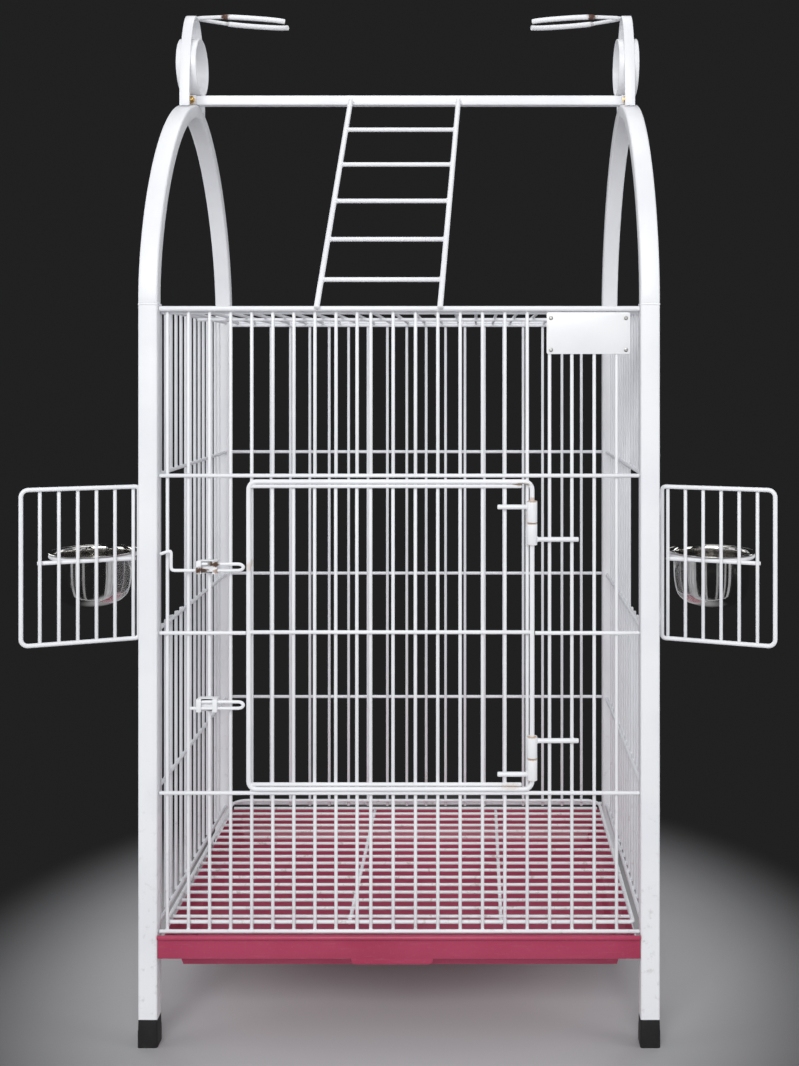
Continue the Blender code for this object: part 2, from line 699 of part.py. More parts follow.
def roof_grille(cage):
    """Bars from front to back over cross rails, whose first and last touch the upright panels."""
    reach = -FRONT - TUBE / 2 - BAR_RADIUS - GAP - RAIL_RADIUS
    side = rail_plane(POST_X, -1) - RAIL_RADIUS - GAP
    bar_z = rail_plane(ROOF_Z, 1)
    bars, rails = bmesh.new(), bmesh.new()
    end_y = reach + BAR_RADIUS / 2
    for i in range(ROOF_BARS):
        x = (side - ROOF_MARGIN) * (2 * i / (ROOF_BARS - 1) - 1)
        wire(bars, (x, -end_y, bar_z), (x, end_y, bar_z), BAR_RADIUS, Z, PLAIN_SIDES)
    for i in range(ROOF_RAILS):
        y = reach * (2 * i / (ROOF_RAILS - 1) - 1)
        end = side if 0 < i < ROOF_RAILS - 1 else STAND_WIDTH / 2 - TUBE - GAP
        wire(rails, (-end, y, ROOF_Z), (end, y, ROOF_Z), RAIL_RADIUS, Z, PLAIN_SIDES)
    piece("roof_grille", combined(bars, rails), POWDER_COAT, cage)


def floor_grate(cage):
    """Bars from side to side under a frame rod with rounded back corners, on two spines."""
    reach = -FRONT - TUBE / 2 - BAR_RADIUS - GAP - RAIL_RADIUS
    bar_z = GRATE_FRAME_Z - RAIL_OFFSET
    spine_z = bar_z - RAIL_OFFSET
    outline = rounded_rectangle((-GRATE_HALF_WIDTH, -reach), (GRATE_HALF_WIDTH, reach),
                                (GRATE_CORNER, GRATE_CORNER, GRATE_FRONT_CORNER, GRATE_FRONT_CORNER))
    frame, bars, spines = bmesh.new(), bmesh.new(), bmesh.new()
    path = [(x, y, GRATE_FRAME_Z) for x, y in outline]
    bent_wire(frame, path, RAIL_RADIUS, Z, True, PLAIN_SIDES)
    pitch = 2 * reach / (GRATE_BARS - 1)
    for i in range(1, GRATE_BARS - 1):
        y = -reach + i * pitch
        end = GRATE_HALF_WIDTH if i < GRATE_BARS - 2 else GRATE_HALF_WIDTH - GRATE_CORNER * 0.2
        wire(bars, (-end, y, bar_z), (end, y, bar_z), BAR_RADIUS, Z, PLAIN_SIDES)
    end_y = reach - pitch * 0.6
    for x in (GRATE_SPINE_LEFT, GRATE_SPINE_RIGHT):
        wire(spines, (x, -end_y, spine_z), (x, end_y, spine_z), RAIL_RADIUS, Z, PLAIN_SIDES)
    grate = combined(combined(bars, spines), frame)
    piece("floor_grate", grate, POWDER_COAT, cage)


# Tray and runners

def tray(cage):
    """A folded pan: a floor sheet inside four mitred walls, whose ledges slide on the runners."""
    rim = STAND_WIDTH / 2 - TUBE - TRAY_SIDE_GAP
    front = FRONT + LIP_SHEET
    back = -FRONT - TUBE / 2 - BAR_RADIUS - TRAY_BACK_GAP
    middle, half = (front + back) / 2, (back - front) / 2
    foot = TRAY_LEDGE + TRAY_DRAFT + TRAY_SHEET
    ledge = TRAY_LEDGE_Z + TRAY_SHEET
    fold = [
        (0, TRAY_RIM_Z), (0, TRAY_LEDGE_Z), (TRAY_LEDGE, TRAY_LEDGE_Z), (foot - TRAY_SHEET, TRAY_BASE_Z),
        (foot, TRAY_BASE_Z), (TRAY_LEDGE + TRAY_SHEET, ledge), (TRAY_SHEET, ledge), (TRAY_SHEET, TRAY_RIM_Z),
    ]
    mitre = GAP / math.sqrt(2)
    behind_lip = TRAY_SHEET * 0.6 + GAP
    origin = (0, FRONT, LIP_BOTTOM)
    for side, sx in (("left", -1), ("right", 1)):
        ends = [
            [Vector((sx * (rim - inset), middle - half + max(inset + mitre, behind_lip), z)) for inset, z in fold],
            [Vector((sx * (rim - inset), middle + half - inset - mitre, z)) for inset, z in fold],
        ]
        bm = bmesh.new()
        skin(bm, ends)
        piece(f"tray_wall_{side}", bm, TRAY_ENAMEL, cage, origin)
    for end, sy in (("front", -1), ("back", 1)):
        bm = bmesh.new()
        skin(bm, [
            [Vector((sx * (rim - inset - mitre), middle + sy * (half - inset), z)) for inset, z in fold]
            for sx in (-1, 1)
        ])
        if sy < 0:
            bm = combined(bm, tray_lip())
        piece(f"tray_wall_{end}", bm, TRAY_ENAMEL, cage, origin)
    bm = bmesh.new()
    inner = foot + GAP
    box(bm, (inner - rim, middle - half + inner, TRAY_BASE_Z),
        (rim - inner, middle + half - inner, TRAY_BASE_Z + TRAY_SHEET))
    piece("tray_floor", bm, TRAY_ENAMEL, cage, origin)


def tray_lip():
    """The front plate between the posts: a rolled bead on top and a deeper pull in the middle."""
    end = STAND_WIDTH / 2 - TUBE - GAP
    back = FRONT + LIP_SHEET + TRAY_SHEET * 0.6
    face = back - LIP_SHEET
    bead_z = LIP_TOP - LIP_BEAD
    outline = [(back, LIP_BOTTOM), (back, bead_z)]
    for i in range(7):
        turn = math.radians(45 + 40 * i)
        outline.append((face - LIP_BEAD * 0.5 + LIP_BEAD * math.cos(turn), bead_z + LIP_BEAD * math.sin(turn)))
    outline += [(face, bead_z - LIP_BEAD * 1.1), (face, LIP_BOTTOM)]
    lip = bmesh.new()
    skin(lip, [[Vector((x, y, z)) for y, z in outline] for x in (-end, end)])
    pull = bmesh.new()
    corners = [
        (LIP_PULL_LEFT - 0.010, LIP_BOTTOM + 0.004), (LIP_PULL_RIGHT + 0.010, LIP_BOTTOM + 0.004),
        (LIP_PULL_RIGHT, LIP_PULL_BOTTOM), (LIP_PULL_LEFT, LIP_PULL_BOTTOM),
    ]
    skin(pull, [[Vector((x, y, z)) for x, z in corners] for y in (face + 0.0001, back - 0.0001)])
    return combined(lip, pull)


def tray_runners(cage):
    """An angle each side from post to post, with a stop turned up at the back."""
    for side, sx in (("left", -1), ("right", 1)):
        wall = sx * (STAND_WIDTH / 2 - TUBE - GAP)
        top = TRAY_LEDGE_Z - GAP
        low, high = top - RUNNER_SHEET, top - RUNNER_SHEET + RUNNER_HEIGHT
        shelf = wall - sx * RUNNER_WIDTH
        flange = wall - sx * RUNNER_SHEET
        front, back = FRONT + LIP_SHEET + TRAY_SHEET + GAP, -FRONT - TUBE * 0.1
        outline = [(wall, low), (shelf, low), (shelf, top), (flange, top), (flange, high), (wall, high)]
        angle, stop = bmesh.new(), bmesh.new()
        skin(angle, [[Vector((x, y, z)) for x, z in outline] for y in (front, back)])
        stop_y = -FRONT - TUBE / 2 - BAR_RADIUS - TRAY_BACK_GAP + GAP
        box(stop, (min(shelf + sx * 0.001, flange + sx * 0.0005), stop_y, top - 0.0005),
            (max(shelf + sx * 0.001, flange + sx * 0.0005), stop_y + RUNNER_SHEET, high - 0.001))
        piece(f"tray_runner_{side}", combined(angle, stop), POWDER_COAT, cage)


# Main door and its barrel hinges

def hinge_axis():
    _, _, edge = doorway_bars()
    return Vector((edge + HINGE_OFFSET, FRONT + TUBE / 2 - HINGE_FORWARD, 0))


def main_door(cage):
    """A bent frame wire whose right side is the hinge pin, with bars behind it in line with the panel's."""
    axis = hinge_axis()
    cut, edge_left, _ = doorway_bars()
    left = edge_left - DOOR_OVERLAP
    outline = rounded_rectangle((left, DOOR_BOTTOM), (axis.x, DOOR_TOP), [DOOR_CORNER] * 4)
    frame = bmesh.new()
    bent_wire(frame, [(x, axis.y, z) for x, z in outline], DOOR_FRAME_RADIUS, Y, closed=True)
    bar_y = axis.y + DOOR_FRAME_RADIUS + BAR_RADIUS - WELD
    rail_y = bar_y - RAIL_OFFSET
    bars, rails = bmesh.new(), bmesh.new()
    for x in cut:
        wire(bars, (x, bar_y, DOOR_BOTTOM - 0.001), (x, bar_y, DOOR_TOP + 0.001), BAR_RADIUS, Y)
    stop = axis.x - KNUCKLE_RADIUS * 2
    for z in (DOOR_TOP - DOOR_INNER_RAIL, DOOR_BOTTOM + DOOR_INNER_RAIL):
        wire(rails, (left + DOOR_FRAME_RADIUS * 0.5, rail_y, z), (stop, rail_y, z), RAIL_RADIUS, Y)
    wire(rails, (left, rail_y, DOOR_MIDDLE_Z), (axis.x, rail_y, DOOR_MIDDLE_Z), RAIL_RADIUS, Y)
    door = combined(combined(bars, rails), frame)
    piece("main_door", door, POWDER_COAT, cage, origin=axis)


def hinges(cage):
    """Each hinge has the door's knuckle outside, towards the door's end, and the panel's inside."""
    axis = hinge_axis()
    for name, joint_z, away in (("upper", UPPER_HINGE_Z, 1), ("lower", LOWER_HINGE_Z, -1)):
        near = joint_z + away * KNUCKLE_GAP / 2
        far = near + away * KNUCKLE_LENGTH
        knuckle(f"door_knuckle_{name}", axis, near, far, 0.72, -1, cage)
        near = joint_z - away * KNUCKLE_GAP / 2
        far = near - away * KNUCKLE_LENGTH
        knuckle(f"panel_knuckle_{name}", axis, near, far, 0.76, 1, cage)


def knuckle(name, axis, near, far, share, side, cage):
    """A barrel on the pin with a wire arm, to the left on the door and to the right on the panel."""
    bore = DOOR_FRAME_RADIUS + RUNNING_GAP
    barrel, arm = bmesh.new(), bmesh.new()
    bore /= math.cos(math.pi / KNUCKLE_SIDES)
    sleeve(barrel, axis, KNUCKLE_RADIUS, bore, min(near, far), max(near, far), KNUCKLE_SIDES)
    bars_y = FRONT + TUBE / 2 if side > 0 else axis.y + DOOR_FRAME_RADIUS + BAR_RADIUS - WELD
    y = bars_y - BAR_RADIUS - GAP - HINGE_ARM_RADIUS
    z = near + (far - near) * share
    start = axis.x + side * (KNUCKLE_RADIUS - 0.0012)
    end = axis.x + side * (PANEL_ARM_REACH if side > 0 else DOOR_ARM_REACH)
    wire(arm, (start, y, z), (end, y, z), HINGE_ARM_RADIUS, Y, 8)
    piece(name, combined(barrel, arm), POWDER_COAT, cage, origin=(axis.x, axis.y, (near + far) / 2))


# Sliding latches

def latch_y():
    """The latch wire passes just in front of the door's frame."""
    return hinge_axis().y - DOOR_FRAME_RADIUS - RUNNING_GAP - LATCH_RADIUS


def latches(cage):
    _, edge_left, _ = doorway_bars()
    nose = edge_left - DOOR_OVERLAP - DOOR_FRAME_RADIUS - LATCH_SHORT
    guide_x = min(front_bar_places()[0], key=lambda x: abs(nose - GUIDE_SETBACK - x))
    latch_bolt("latch_bolt_upper", nose, UPPER_LATCH_Z, UPPER_LATCH_LENGTH, True, cage)
    latch_bolt("latch_bolt_lower", nose, LOWER_LATCH_Z, LOWER_LATCH_LENGTH, False, cage)
    latch_guide("latch_guide_upper", guide_x, UPPER_LATCH_Z, cage)
    latch_guide("latch_guide_lower", guide_x, LOWER_LATCH_Z, cage)


def latch_bolt(name, nose, z, length, grip, cage):
    """A hairpin of wire: a short leg above, a pointed nose and a longer leg below, on one with a finger grip."""
    half = LATCH_HALF_HEIGHT
    tip = nose - LATCH_RADIUS
    path = [(tip - LATCH_RETURN, half), (tip - half * 1.5, half), (tip - half * 0.5, half * 0.72), (tip, 0.0),
            (tip - half * 0.5, -half * 0.72), (tip - half * 1.5, -half), (tip - length, -half)]
    if grip:
        bend = tip - length
        top = LATCH_GRIP_RISE - half
        path += [(bend - 0.003, 0.001 - half), (bend - 0.004, 0.004 - half), (bend - 0.004, top - 0.003),
                 (bend - 0.006, top - 0.001), (bend - 0.004 - LATCH_GRIP_REACH, top - 0.004)]
    bm = bmesh.new()
    bent_wire(bm, [(x, latch_y(), z + dz) for x, dz in path], LATCH_RADIUS, Y)
    piece(name, bm, POWDER_COAT, cage, origin=(tip, latch_y(), z))


def latch_guide(name, x, z, cage):
    """Two straps over the latch wire, on a saddle welded to a bar of the panel."""
    half = LATCH_HALF_HEIGHT + LATCH_RADIUS + RUNNING_GAP
    outer = half + GUIDE_WALL
    front = latch_y() - LATCH_RADIUS - RUNNING_GAP - GUIDE_WALL
    seat = latch_y() + LATCH_RADIUS + RUNNING_GAP
    back = FRONT + TUBE / 2 - BAR_RADIUS - GAP
    ends = (x - GUIDE_LENGTH / 2, x + GUIDE_LENGTH / 2)
    strap = bmesh.new()
    box(strap, (ends[0], front, z - outer), (ends[1], back, z + outer))
    slots = bmesh.new()
    box(slots, (ends[0] - 0.01, front + GUIDE_WALL, z - half), (ends[1] + 0.01, seat, z + half))
    box(slots, (ends[0] - 0.01, seat + GUIDE_WALL, z - half), (ends[1] + 0.01, back + 0.01, z + half))
    bm = combined(strap, slots, "DIFFERENCE")
    window = bmesh.new()
    box(window, (x - GUIDE_WINDOW / 2, front - 0.01, z - outer - 0.01),
        (x + GUIDE_WINDOW / 2, seat - 0.0004, z + outer + 0.01))
    piece(name, combined(bm, window, "DIFFERENCE"), POWDER_COAT, cage)


# Feeders: hinge pin on the post, swinging door, ring and cup

def feeders(cage):
    for side, sx in (("left", -1), ("right", 1)):
        axis = Vector((sx * FEEDER_X, FEEDER_Y, 0))
        feeder_pin(f"feeder_pin_{side}", axis, sx, cage)
        swing = empty(f"feeder_axis_{side}", axis, -sx * FEEDER_OPEN, cage)
        feeder_door(f"feeder_door_{side}", sx, swing)
        for level, span in zip(("lower", "upper"), barrel_spans()):
            feeder_barrel(f"feeder_barrel_{side}_{level}", span, swing)
        feeder_ring(f"feeder_ring_{side}", sx, swing)
        feeder_cup(f"feeder_cup_{side}", sx, swing)


def barrel_spans():
    low = FEEDER_BOTTOM + BARREL_INSET
    high = FEEDER_TOP - BARREL_INSET
    return (low, low + BARREL_LENGTH), (high - BARREL_LENGTH, high)


def feeder_pin(name, axis, sx, cage):
    """A rod held by a lug above and below the door's barrels, both welded to the post's back face."""
    (low, _), (_, high) = barrel_spans()
    low -= GAP + LUG_HEIGHT
    high += GAP + LUG_HEIGHT
    rod, lugs = bmesh.new(), bmesh.new()
    wire(rod, (axis.x, axis.y, low - 0.002), (axis.x, axis.y, high + 0.002), PIN_RADIUS, X, 8)
    weld = GAP - FEEDER_SETBACK
    turns = [math.radians(60 + 32 * i) for i in range(7)]
    outline = [(-PIN_LUG_WIDTH, weld)]
    outline += [(-PIN_LUG_RADIUS * math.cos(turn), PIN_LUG_RADIUS * math.sin(turn)) for turn in turns]
    outline += [(0, weld)]
    for z in (low, high - LUG_HEIGHT):
        skin(lugs, [[axis + Vector((sx * u, v, height)) for u, v in outline] for height in (z, z + LUG_HEIGHT)])
    piece(name, combined(rod, lugs), POWDER_COAT, cage)


def feeder_door(name, sx, swing):
    """Drawn closed, running back from its hinge axis, with its bars on the inner side of the frame."""
    inside = -sx * (FEEDER_FRAME_RADIUS + BAR_RADIUS - WELD)
    outline = rounded_rectangle((FEEDER_HEEL, FEEDER_BOTTOM), (FEEDER_REACH, FEEDER_TOP),
                                (FEEDER_CORNER, FEEDER_HEEL_CORNER, FEEDER_HEEL_CORNER, FEEDER_CORNER), 2)
    frame, bars = bmesh.new(), bmesh.new()
    bent_wire(frame, [(0, y, z) for y, z in outline], FEEDER_FRAME_RADIUS, X, closed=True)
    for i in range(FEEDER_INNER_BARS):
        y = feeder_bar(i + 1)
        wire(bars, (inside, y, FEEDER_BOTTOM - 0.001), (inside, y, FEEDER_TOP + 0.001), BAR_RADIUS, X)
    piece(name, combined(frame, bars), POWDER_COAT, swing)


def feeder_barrel(name, span, swing):
    """A short tube on the pin, welded to the door's nearest wire."""
    bm = bmesh.new()
    bore = (PIN_RADIUS + RUNNING_GAP) / math.cos(math.pi / KNUCKLE_SIDES)
    sleeve(bm, (0, 0), BARREL_RADIUS, bore, *span, KNUCKLE_SIDES)
    piece(name, bm, POWDER_COAT, swing)


def feeder_bar(i):
    return FEEDER_REACH - i * FEEDER_PITCH


def ring_centre(sx):
    """The ring's wire clears the door's bars by the touching gap."""
    depth = FEEDER_FRAME_RADIUS + 2 * BAR_RADIUS - WELD + GAP + RING_WIRE
    return Vector((-sx * (depth + RING_RADIUS), RING_ALONG, RING_Z)), -sx * depth


def feeder_ring(name, sx, swing):
    """A wire ring on a cross wire that is welded to the door's bars."""
    centre, bar_x = ring_centre(sx)
    ring, bar = bmesh.new(), bmesh.new()
    path = [
        centre + Vector((math.cos(2 * math.pi * i / 20), math.sin(2 * math.pi * i / 20), 0)) * RING_RADIUS
        for i in range(20)
    ]
    bent_wire(ring, path, RING_WIRE, Z, closed=True)
    near, far = feeder_bar(FEEDER_INNER_BARS) - RING_BAR_END, feeder_bar(1) + RING_BAR_END
    wire(bar, (bar_x, near, RING_Z), (bar_x, far, RING_Z), RING_WIRE * 0.96, X, 8)
    piece(name, combined(ring, bar), POWDER_COAT, swing)


def feeder_cup(name, sx, swing):
    """A turned cup whose flat rim rests on the ring."""
    centre, _ = ring_centre(sx)
    rim = RING_Z + RING_WIRE * math.cos(math.pi / 6) + 0.0006
    base = rim - CUP_DEPTH
    sheet = CUP_SHEET
    wall = [
        (CUP_FOOT_RADIUS, 0.0), (0.76 * CUP_BODY_RADIUS, 0.10 * CUP_DEPTH), (0.93 * CUP_BODY_RADIUS, 0.28 * CUP_DEPTH),
        (0.985 * CUP_BODY_RADIUS, 0.50 * CUP_DEPTH), (CUP_BODY_RADIUS, CUP_DEPTH),
    ]
    profile = [(r, base + z) for r, z in wall]
    profile += [(CUP_RIM_RADIUS, rim), (CUP_RIM_RADIUS, rim + 1.6 * sheet), (CUP_BODY_RADIUS, rim + 1.6 * sheet)]
    profile += [(r - sheet, base + z + sheet * 0.9) for r, z in wall[::-1]]
    loops = [
        [Vector((centre.x + r * math.cos(2 * math.pi * i / 18), centre.y + r * math.sin(2 * math.pi * i / 18), z))
         for i in range(18)]
        for r, z in profile
    ]
    bm = bmesh.new()
    skin(bm, loops)
    piece(name, bm, STEEL, swing, origin=(centre.x, centre.y, RING_Z))


def outline_middle():
    """The middle of the cage's depth, from the open feeder doors in front to the foot caps behind."""
    front = FEEDER_Y - FEEDER_REACH * math.sin(FEEDER_OPEN - math.pi / 2) - FEEDER_FRAME_RADIUS
    back = STAND_DEPTH / 2 + FOOT_SPREAD
    return (front + back) / 2


def build():
    clear_scene()
    cage = empty("cage", (0, -outline_middle(), 0))
    posts(cage)
    arches(cage)
    perch_bar(cage)
    ladder(cage)
    hoops(cage)
    front_panel(cage)
    back_panel(cage)
    side_panels(cage)
    roof_grille(cage)
    floor_grate(cage)
    tray(cage)
    tray_runners(cage)
    main_door(cage)
    hinges(cage)
    latches(cage)
    feeders(cage)


build()
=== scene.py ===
import math
from contextlib import contextmanager

import bmesh
import bpy
from mathutils import Matrix, Vector


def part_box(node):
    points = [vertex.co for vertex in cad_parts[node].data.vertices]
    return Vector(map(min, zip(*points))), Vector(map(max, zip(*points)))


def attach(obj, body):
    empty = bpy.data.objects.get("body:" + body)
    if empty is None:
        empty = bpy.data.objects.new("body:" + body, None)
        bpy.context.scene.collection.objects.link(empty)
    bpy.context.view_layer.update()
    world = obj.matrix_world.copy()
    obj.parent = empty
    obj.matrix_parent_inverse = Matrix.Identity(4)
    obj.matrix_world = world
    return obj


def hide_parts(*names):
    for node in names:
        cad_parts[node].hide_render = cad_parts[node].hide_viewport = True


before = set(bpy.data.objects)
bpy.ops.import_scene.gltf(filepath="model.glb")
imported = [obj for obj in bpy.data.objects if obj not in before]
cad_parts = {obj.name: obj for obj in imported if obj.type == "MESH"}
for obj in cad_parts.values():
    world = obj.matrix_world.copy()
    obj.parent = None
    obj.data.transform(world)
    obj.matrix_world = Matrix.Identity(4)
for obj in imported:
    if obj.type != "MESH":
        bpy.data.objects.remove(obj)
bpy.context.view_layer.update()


# Camera: stands a little right of the cage's middle at the height of the door, level,
# with its frame shifted so that the upright posts stay parallel.

bpy.ops.object.select_all(action="DESELECT")
bpy.ops.object.camera_add(location=(0.087, -1.55157, 0.778), rotation=(math.pi / 2, 0, 0))
camera = bpy.context.object
camera.name = "front_camera"
camera.data.sensor_fit = "VERTICAL"
camera.data.sensor_height = 36
camera.data.lens = 39.68
camera.data.shift_x = -0.0705
camera.data.shift_y = -0.152
bpy.context.scene.camera = camera


# Posts: four lengths of 22 x 20 mm steel tube, cut square, powder coated white. Their outer
# faces lie where the CAD has them. The caps plug in below, and the arches are welded on above.

def feed(tree, node, values):
    """Sets a node's inputs, or links those whose value is another node's output."""
    for key, value in values.items():
        socket = node.inputs[key]
        if isinstance(value, bpy.types.NodeSocket):
            tree.links.new(value, socket)
        else:
            socket.default_value = value


def add_node(tree, kind, values, **settings):
    node = tree.nodes.new("ShaderNode" + kind)
    for key, value in settings.items():
        setattr(node, key, value)
    feed(tree, node, values)
    return node


def math_node(tree, operation, *values):
    return add_node(tree, "Math", dict(enumerate(values)), operation=operation).outputs[0]


def mixed(tree, share, first, second):
    node = add_node(tree, "Mix", {}, data_type="RGBA")
    feed(tree, node, {0: share, 6: first, 7: second})
    return node.outputs[2]


def noise(tree, place, scale, detail=2.0, roughness=0.5):
    values = {"Vector": place, "Scale": scale, "Detail": detail, "Roughness": roughness}
    return add_node(tree, "TexNoise", values).outputs["Fac"]


def ramped(tree, value, low, high, start=0.0, end=1.0, kind="SMOOTHSTEP"):
    """A step from start to end as the value goes from low to high."""
    values = {"Value": value, "From Min": low, "From Max": high, "To Min": start, "To Max": end}
    return add_node(tree, "MapRange", values, interpolation_type=kind).outputs["Result"]


SURFACE = {"Colour": "Color", "Roughness": "Float", "Height": "Float"}


def new_group(name, takes, gives=SURFACE):
    """An empty shader group, its inputs and its outputs, given as names with their kinds."""
    tree = bpy.data.node_groups.new(name, "ShaderNodeTree")
    for way, sockets in (("INPUT", {"Place": "Vector", **takes}), ("OUTPUT", gives)):
        for label, kind in sockets.items():
            tree.interface.new_socket(label, in_out=way, socket_type="NodeSocket" + kind)
    return tree, tree.nodes.new("NodeGroupInput").outputs, tree.nodes.new("NodeGroupOutput")


def place_group(tree, group, values):
    node = tree.nodes.new("ShaderNodeGroup")
    node.node_tree = group
    feed(tree, node, values)
    return node.outputs


SOIL_FADES_OVER, SOIL_LEFT_ABOVE = 0.22, 0.08

sprayed_coat, given, out = new_group("sprayed_coat", {
    "Coat": "Color", "Thin Coat": "Color", "Soil": "Color", "Soil Amount": "Float", "Soil Top": "Float",
    "Roughness": "Float"})
drift = noise(sprayed_coat, given["Place"], scale=11.0, detail=3.0)
thin = ramped(sprayed_coat, drift, low=0.40, high=0.66, end=0.6)
tone = mixed(sprayed_coat, thin, given["Coat"], given["Thin Coat"])
height = add_node(sprayed_coat, "SeparateXYZ", {0: given["Place"]}).outputs["Z"]
fade_start = math_node(sprayed_coat, "SUBTRACT", given["Soil Top"], SOIL_FADES_OVER)
low_down = ramped(sprayed_coat, height, fade_start, given["Soil Top"], 1.0, SOIL_LEFT_ABOVE, "LINEAR")
specks = noise(sprayed_coat, given["Place"], scale=95.0, detail=5.0, roughness=0.65)
spatter = ramped(sprayed_coat, specks, low=0.56, high=0.70)
soiled = math_node(sprayed_coat, "MULTIPLY", math_node(sprayed_coat, "MULTIPLY", spatter, low_down),
                   given["Soil Amount"])
rougher = math_node(sprayed_coat, "MULTIPLY_ADD", drift, 0.12, given["Roughness"])
feed(sprayed_coat, out, {
    "Colour": mixed(sprayed_coat, soiled, tone, given["Soil"]),
    "Roughness": math_node(sprayed_coat, "MULTIPLY_ADD", soiled, 0.25, rougher),
    "Height": noise(sprayed_coat, given["Place"], scale=620.0, detail=1.0)})

rust_spot, given, out = new_group(
    "rust_spot", {"Centre": "Vector", "Reach": "Vector", "Amount": "Float"}, {"Mask": "Float"})
away = add_node(rust_spot, "VectorMath", {0: given["Place"], 1: given["Centre"]}, operation="SUBTRACT")
share = add_node(rust_spot, "VectorMath", {0: away.outputs[0], 1: given["Reach"]}, operation="DIVIDE")
far = add_node(rust_spot, "VectorMath", {0: share.outputs[0]}, operation="LENGTH").outputs["Value"]
flakes = noise(rust_spot, given["Place"], scale=330.0, detail=4.0, roughness=0.7)
ragged = math_node(rust_spot, "MULTIPLY_ADD", flakes, 1.6, far)
inside = ramped(rust_spot, ragged, low=1.25, high=1.95, start=1.0, end=0.0)
feed(rust_spot, out, {"Mask": math_node(rust_spot, "MULTIPLY", inside, given["Amount"])})


def finish(name, group, values, grain=None, rust=(), metallic=0.0):
    """A material on one shader group. grain is its bump's strength and depth, and rust is a list
    of (centre, reach, amount, colour)."""
    made = bpy.data.materials.new(name)
    made.use_nodes = True
    tree = made.node_tree
    place = add_node(tree, "TexCoord", {}).outputs["Object"]
    surface = place_group(tree, group, {"Place": place, **values})
    colour, rough = surface["Colour"], surface["Roughness"]
    for centre, reach, amount, stain in rust:
        spot = {"Place": place, "Centre": centre, "Reach": reach, "Amount": amount}
        mask = place_group(tree, rust_spot, spot)["Mask"]
        colour = mixed(tree, mask, colour, stain)
        rough = math_node(tree, "MULTIPLY_ADD", mask, 0.4, rough)
    wanted = {"Base Color": colour, "Roughness": rough, "Metallic": metallic}
    if grain:
        strength, depth = grain
        bump = add_node(tree, "Bump", {"Strength": strength, "Distance": depth, "Height": surface["Height"]})
        wanted["Normal"] = bump.outputs["Normal"]
    feed(tree, tree.nodes["Principled BSDF"], wanted)
    return made


COAT_WHITE = (0.84, 0.85, 0.87, 1)
COAT_THIN = (0.77, 0.78, 0.81, 1)
SOIL = (0.36, 0.31, 0.25, 1)


def white_coat(name, rust=(), coat=COAT_WHITE, soil=0.30, soil_top=0.34, roughness=0.33):
    """The cage's satin white, thin in places and spattered low down."""
    return finish(name, sprayed_coat, {
        "Coat": coat, "Thin Coat": COAT_THIN, "Soil": SOIL, "Soil Amount": soil, "Soil Top": soil_top,
        "Roughness": roughness}, (0.10, 0.0004), rust)


powder_white = white_coat("powder_white")

X, Y, Z = range(3)


def pick(thing):
    bpy.ops.object.select_all(action="DESELECT")
    thing.select_set(True)
    bpy.context.view_layer.objects.active = thing


@contextmanager
def editing():
    bpy.ops.object.mode_set(mode="EDIT")
    yield
    bpy.ops.object.mode_set(mode="OBJECT")


def choose(thing, kind, wanted):
    """In edit mode, selects the faces by middle and normal, or the edges by middle and direction."""
    bpy.ops.mesh.select_mode(type=kind)
    bpy.ops.mesh.select_all(action="DESELECT")
    mesh = bmesh.from_edit_mesh(thing.data)
    if kind == "FACE":
        for face in mesh.faces:
            face.select_set(bool(wanted(face.calc_center_median(), face.normal)))
    else:
        for edge in mesh.edges:
            first, last = (vertex.co for vertex in edge.verts)
            edge.select_set(bool(wanted((first + last) / 2, (last - first).normalized())))
    bmesh.update_edit_mesh(thing.data)


def along(axis, below=math.inf):
    """Wants the faces that face an axis, or the edges that run along it, below a height."""
    return lambda middle, way: abs(way[axis]) > 0.9 and middle.z < below


def lifted(rise):
    bpy.ops.mesh.extrude_region_move(TRANSFORM_OT_translate={"value": rise})


def started(primitive, scale=(1, 1, 1), **settings):
    """Adds a primitive with nothing else selected, and puts its place and size into its mesh."""
    bpy.ops.object.select_all(action="DESELECT")
    primitive(**settings)
    made = bpy.context.object
    made.scale = scale
    bpy.ops.object.transform_apply(location=True, rotation=True, scale=True)
    return made


def block(low, high):
    """A box from its lowest to its highest corner."""
    low, high = Vector(low), Vector(high)
    return started(bpy.ops.mesh.primitive_cube_add, high - low, size=1, location=(low + high) / 2)


def rounded(thing, axis, width, segments=5, below=math.inf):
    """Rounds the corners that run along an axis."""
    with editing():
        choose(thing, "EDGE", along(axis, below))
        bpy.ops.mesh.bevel(offset=width, segments=segments)


def modified(thing, kind, **settings):
    """Adds a modifier and applies it."""
    pick(thing)
    made = thing.modifiers.new(kind.lower(), kind)
    for key, value in settings.items():
        setattr(made, key, value)
    bpy.ops.object.modifier_apply(modifier=made.name)


def eased(thing, width, segments=2):
    """Rounds the edges that a press brake, file or coat of powder leaves soft."""
    modified(thing, "BEVEL", width=width, segments=segments, limit_method="ANGLE", angle_limit=math.radians(32))


TUBE_WALL = 0.0012


def square_tube(low, high, axis, corner, segments=5):
    """A length of tube with rounded corners, open at both ends."""
    made = block(low, high)
    with editing():
        choose(made, "FACE", along(axis))
        bpy.ops.mesh.delete(type="FACE")
    rounded(made, axis, corner, segments)
    modified(made, "SOLIDIFY", thickness=TUBE_WALL, offset=-1)
    return made


def copy_of(thing, move=(0, 0, 0)):
    twin = thing.copy()
    twin.data = thing.data.copy()
    bpy.context.scene.collection.objects.link(twin)
    twin.data.transform(Matrix.Translation(Vector(move)))
    return twin


